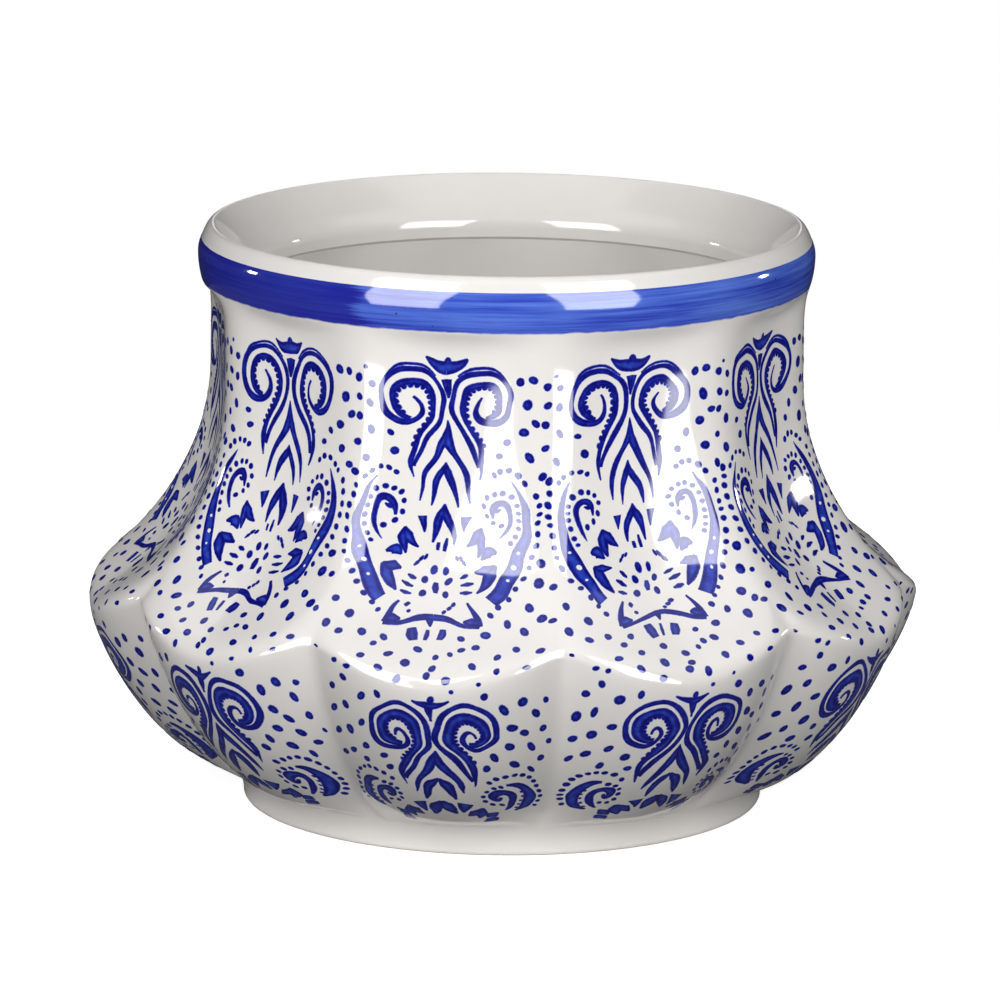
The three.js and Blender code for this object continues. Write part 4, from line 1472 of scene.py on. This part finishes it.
@dataclass
class Studio:
    """The pale floor, the soft lamps and the camera."""

    camera_place_mm: tuple[float, float, float] = (380.3, -2248.4, 573.4)
    camera_pitch: float = 12.09
    camera_yaw: float = -0.032
    camera_roll: float = 0.52
    focal_pixels: float = 8250.0
    sensor_mm: float = 36.0
    table_radius: float = 0.55
    table_glow: float = 0.75
    # How much of the table's white the glaze mirrors; the rest is painted shade
    table_in_gloss: float = 0.05
    curtain_radius: float = 3.2
    curtain_heights: Pair = (-1.5, 3.5)
    curtain_turn: float = math.radians(175)
    # Glow of the curtain on the vase: painted fill light
    curtain_fill_glow: float = 0.17
    sky_light: float = 0.46
    box_distance: float = 2.1
    box_size: Pair = (1.05, 2.3)
    face_ahead: float = 0.1
    face_rise: float = 18.5
    face_radiance: float = 12.0
    light_rise: float = 15.5
    glint_rise: float = 12.0
    glint_size: Pair = (0.16, 0.16)
    glint_radiance: float = 60.0

    def build(self) -> None:
        """Builds the whole set."""
        self.camera()
        self.table()
        self.curtain()
        self.lamps()
        self.world()
        bpy.context.scene.view_settings.view_transform = "Standard"

    def camera(self) -> None:
        """Adds the camera where the photograph was taken from."""
        data = bpy.data.cameras.new("camera")
        data.sensor_width = self.sensor_mm
        data.lens = self.focal_pixels / PHOTO_PIXELS * self.sensor_mm
        data.clip_start = 0.1
        data.clip_end = 50.0
        camera = bpy.data.objects.new("camera", data)
        camera.location = Vector(self.camera_place_mm) * MM
        turn = Euler((math.radians(90 - self.camera_pitch), 0, CAMERA_TURN - math.radians(self.camera_yaw)))
        roll = Matrix.Rotation(math.radians(self.camera_roll), 3, "Z")
        camera.rotation_euler = (turn.to_matrix() @ roll).to_euler()
        bpy.context.scene.collection.objects.link(camera)
        bpy.context.scene.camera = camera

    def table(self) -> None:
        """Adds the round table: white to the camera with the vase's soft shadow on it, with painted shade in
        the glaze and painted bounce light by the foot.
        """
        bm = bmesh.new()
        bmesh.ops.create_circle(bm, cap_ends=True, segments=96, radius=self.table_radius)
        table = new_object("table", bm)
        chain = NodeChain(bpy.data.materials.new("white_paper_table"))
        place = chain.add("ShaderNodeTexCoord").outputs["Object"]
        away = chain.add("ShaderNodeVectorMath", {0: place}, operation="LENGTH").outputs["Value"]
        share = chain.add("ShaderNodeMath", {0: away, 1: self.table_radius}, operation="DIVIDE")
        # Painted bounce light and shade: to light bounced onto the vase, the paper is bright next to the
        # foot, dark further out and lighter near its edge. This lights the foot and leaves the petals'
        # undersides dark.
        stops = ((0.15, "ececec"), (0.18, "2c2c2c"), (0.36, "2c2c2c"), (0.7, "c4c4c4"))
        fill = chain.add("ShaderNodeValToRGB", {"Fac": share.outputs[0]}, stops)
        diffuse = chain.add("ShaderNodeLightPath").outputs["Is Diffuse Ray"]
        # Painted shade: in the glaze the paper is mostly dark grey, as if the vase's shade lay on it.
        painted_bounce_and_shade = chain.add("ShaderNodeMix", {"Factor": diffuse, "A": linear("343434"),
                                             "B": fill.outputs["Color"]}, data_type="RGBA")
        seen = self.seen(chain, self.table_in_gloss)
        paper = chain.add("ShaderNodeMix", {"Factor": seen, "A": painted_bounce_and_shade.outputs["Result"],
                                            "B": linear("f2f2f2")}, data_type="RGBA")
        glow = chain.add("ShaderNodeMath", {0: seen, 1: self.table_glow}, operation="MULTIPLY")
        self.lit_sheet(chain, table, paper.outputs["Result"], glow.outputs[0])

    @staticmethod
    def lit_sheet(chain: NodeChain, piece: bpy.types.Object, colour: object,
                  glow: bpy.types.NodeSocket) -> None:
        """Gives a piece of the set a matt finish with a glow of its own.

        Args:
            chain: The material's nodes.
            piece: The piece.
            colour: Colour socket or value of the matt finish.
            glow: Strength of the glow.
        """
        matt = chain.add("ShaderNodeBsdfDiffuse", {"Color": colour})
        light = chain.add("ShaderNodeEmission", {"Color": (1, 1, 1, 1), "Strength": glow})
        together = chain.add("ShaderNodeAddShader", {0: matt.outputs[0], 1: light.outputs[0]})
        chain.add("ShaderNodeOutputMaterial", {"Surface": together.outputs[0]})
        piece.data.materials.append(chain.owner)

    @staticmethod
    def seen(chain: NodeChain, mirrored: object = 1.0) -> bpy.types.NodeSocket:
        """Adds a factor for how white a thing is: 1 to the camera, straight or through glass, 0 as a light.

        Args:
            chain: The material's or world's nodes.
            mirrored: The factor in gloss.

        Returns:
            The factor's socket.
        """
        path = chain.add("ShaderNodeLightPath").outputs
        straight = chain.add("ShaderNodeMath", {0: path["Is Camera Ray"], 1: path["Is Transmission Ray"]},
                             operation="MAXIMUM")
        gloss = chain.add("ShaderNodeMath", {0: path["Is Glossy Ray"], 1: mirrored}, operation="MULTIPLY")
        return chain.add("ShaderNodeMath", {0: straight.outputs[0], 1: gloss.outputs[0]},
                         operation="MAXIMUM").outputs[0]

    def curtain(self) -> None:
        """Adds the dark cloth nearly all round, which the glaze mirrors and the camera doesn't see, and which
        glows faintly on the vase as painted fill light.
        """
        bm = bmesh.new()
        corners = [bm.verts.new((0, -self.curtain_radius, z)) for z in self.curtain_heights]
        edge = bm.edges.new(corners)
        start = Matrix.Rotation(CAMERA_TURN - self.curtain_turn, 3, "Z")
        bmesh.ops.rotate(bm, verts=corners, cent=(0, 0, 0), matrix=start)
        bmesh.ops.spin(bm, geom=[*corners, edge], axis=(0, 0, 1), cent=(0, 0, 0),
                       angle=2 * self.curtain_turn, steps=48)
        curtain = new_object("curtain", bm)
        curtain.visible_camera = False
        chain = NodeChain(bpy.data.materials.new("dark_curtain_cloth"))
        # Painted fill light: the cloth glows only to light bounced onto the vase
        diffuse = chain.add("ShaderNodeLightPath").outputs["Is Diffuse Ray"]
        glow = chain.add("ShaderNodeMath", {0: diffuse, 1: self.curtain_fill_glow}, operation="MULTIPLY")
        self.lit_sheet(chain, curtain, linear("3a3a3c"), glow.outputs[0])

    def lamps(self) -> None:
        """Adds two tall soft boxes at the camera's sides and two small lamps that glint on the rim."""
        near, far = self.box_distance - self.face_ahead, self.box_distance
        for name, azimuth, inward, light in (("left", -37.5, 5.0, 3.85), ("right", 34.5, -5.0, 3.5)):
            Lamp(f"softbox_{name}", azimuth + inward, self.light_rise, far, self.box_size, light,
                 False).build()
            Lamp(f"softbox_{name}_face", azimuth, self.face_rise, near, self.box_size, self.face_radiance,
                 True).build()
        for name, azimuth in (("left", -108.0), ("right", 110.0)):
            Lamp(f"glint_{name}", azimuth, self.glint_rise, far, self.glint_size, self.glint_radiance,
                 True).build()

    def world(self) -> None:
        """Sets the surroundings: white to the eye, a low even light on the vase."""
        world = bpy.data.worlds.new("studio")
        bpy.context.scene.world = world
        chain = NodeChain(world)
        strength = chain.add("ShaderNodeMapRange", {"Value": self.seen(chain), "To Min": self.sky_light,
                                                    "To Max": 1.0})
        shade = chain.add("ShaderNodeBackground", {"Color": (1, 1, 1, 1),
                                                   "Strength": strength.outputs["Result"]})
        chain.add("ShaderNodeOutputWorld", {"Surface": shade.outputs[0]})


def main() -> None:
    """Builds the vase and its set."""
    logging.basicConfig(level=logging.INFO, format="%(message)s")
    finish = GlazeFinish()
    Studio().build()
    vessel = Vessel(finish, FORM)
    vessel.build()
    Ornament(FORM, finish.relief(), vessel.white).build()


if __name__ == "__main__":
    main()
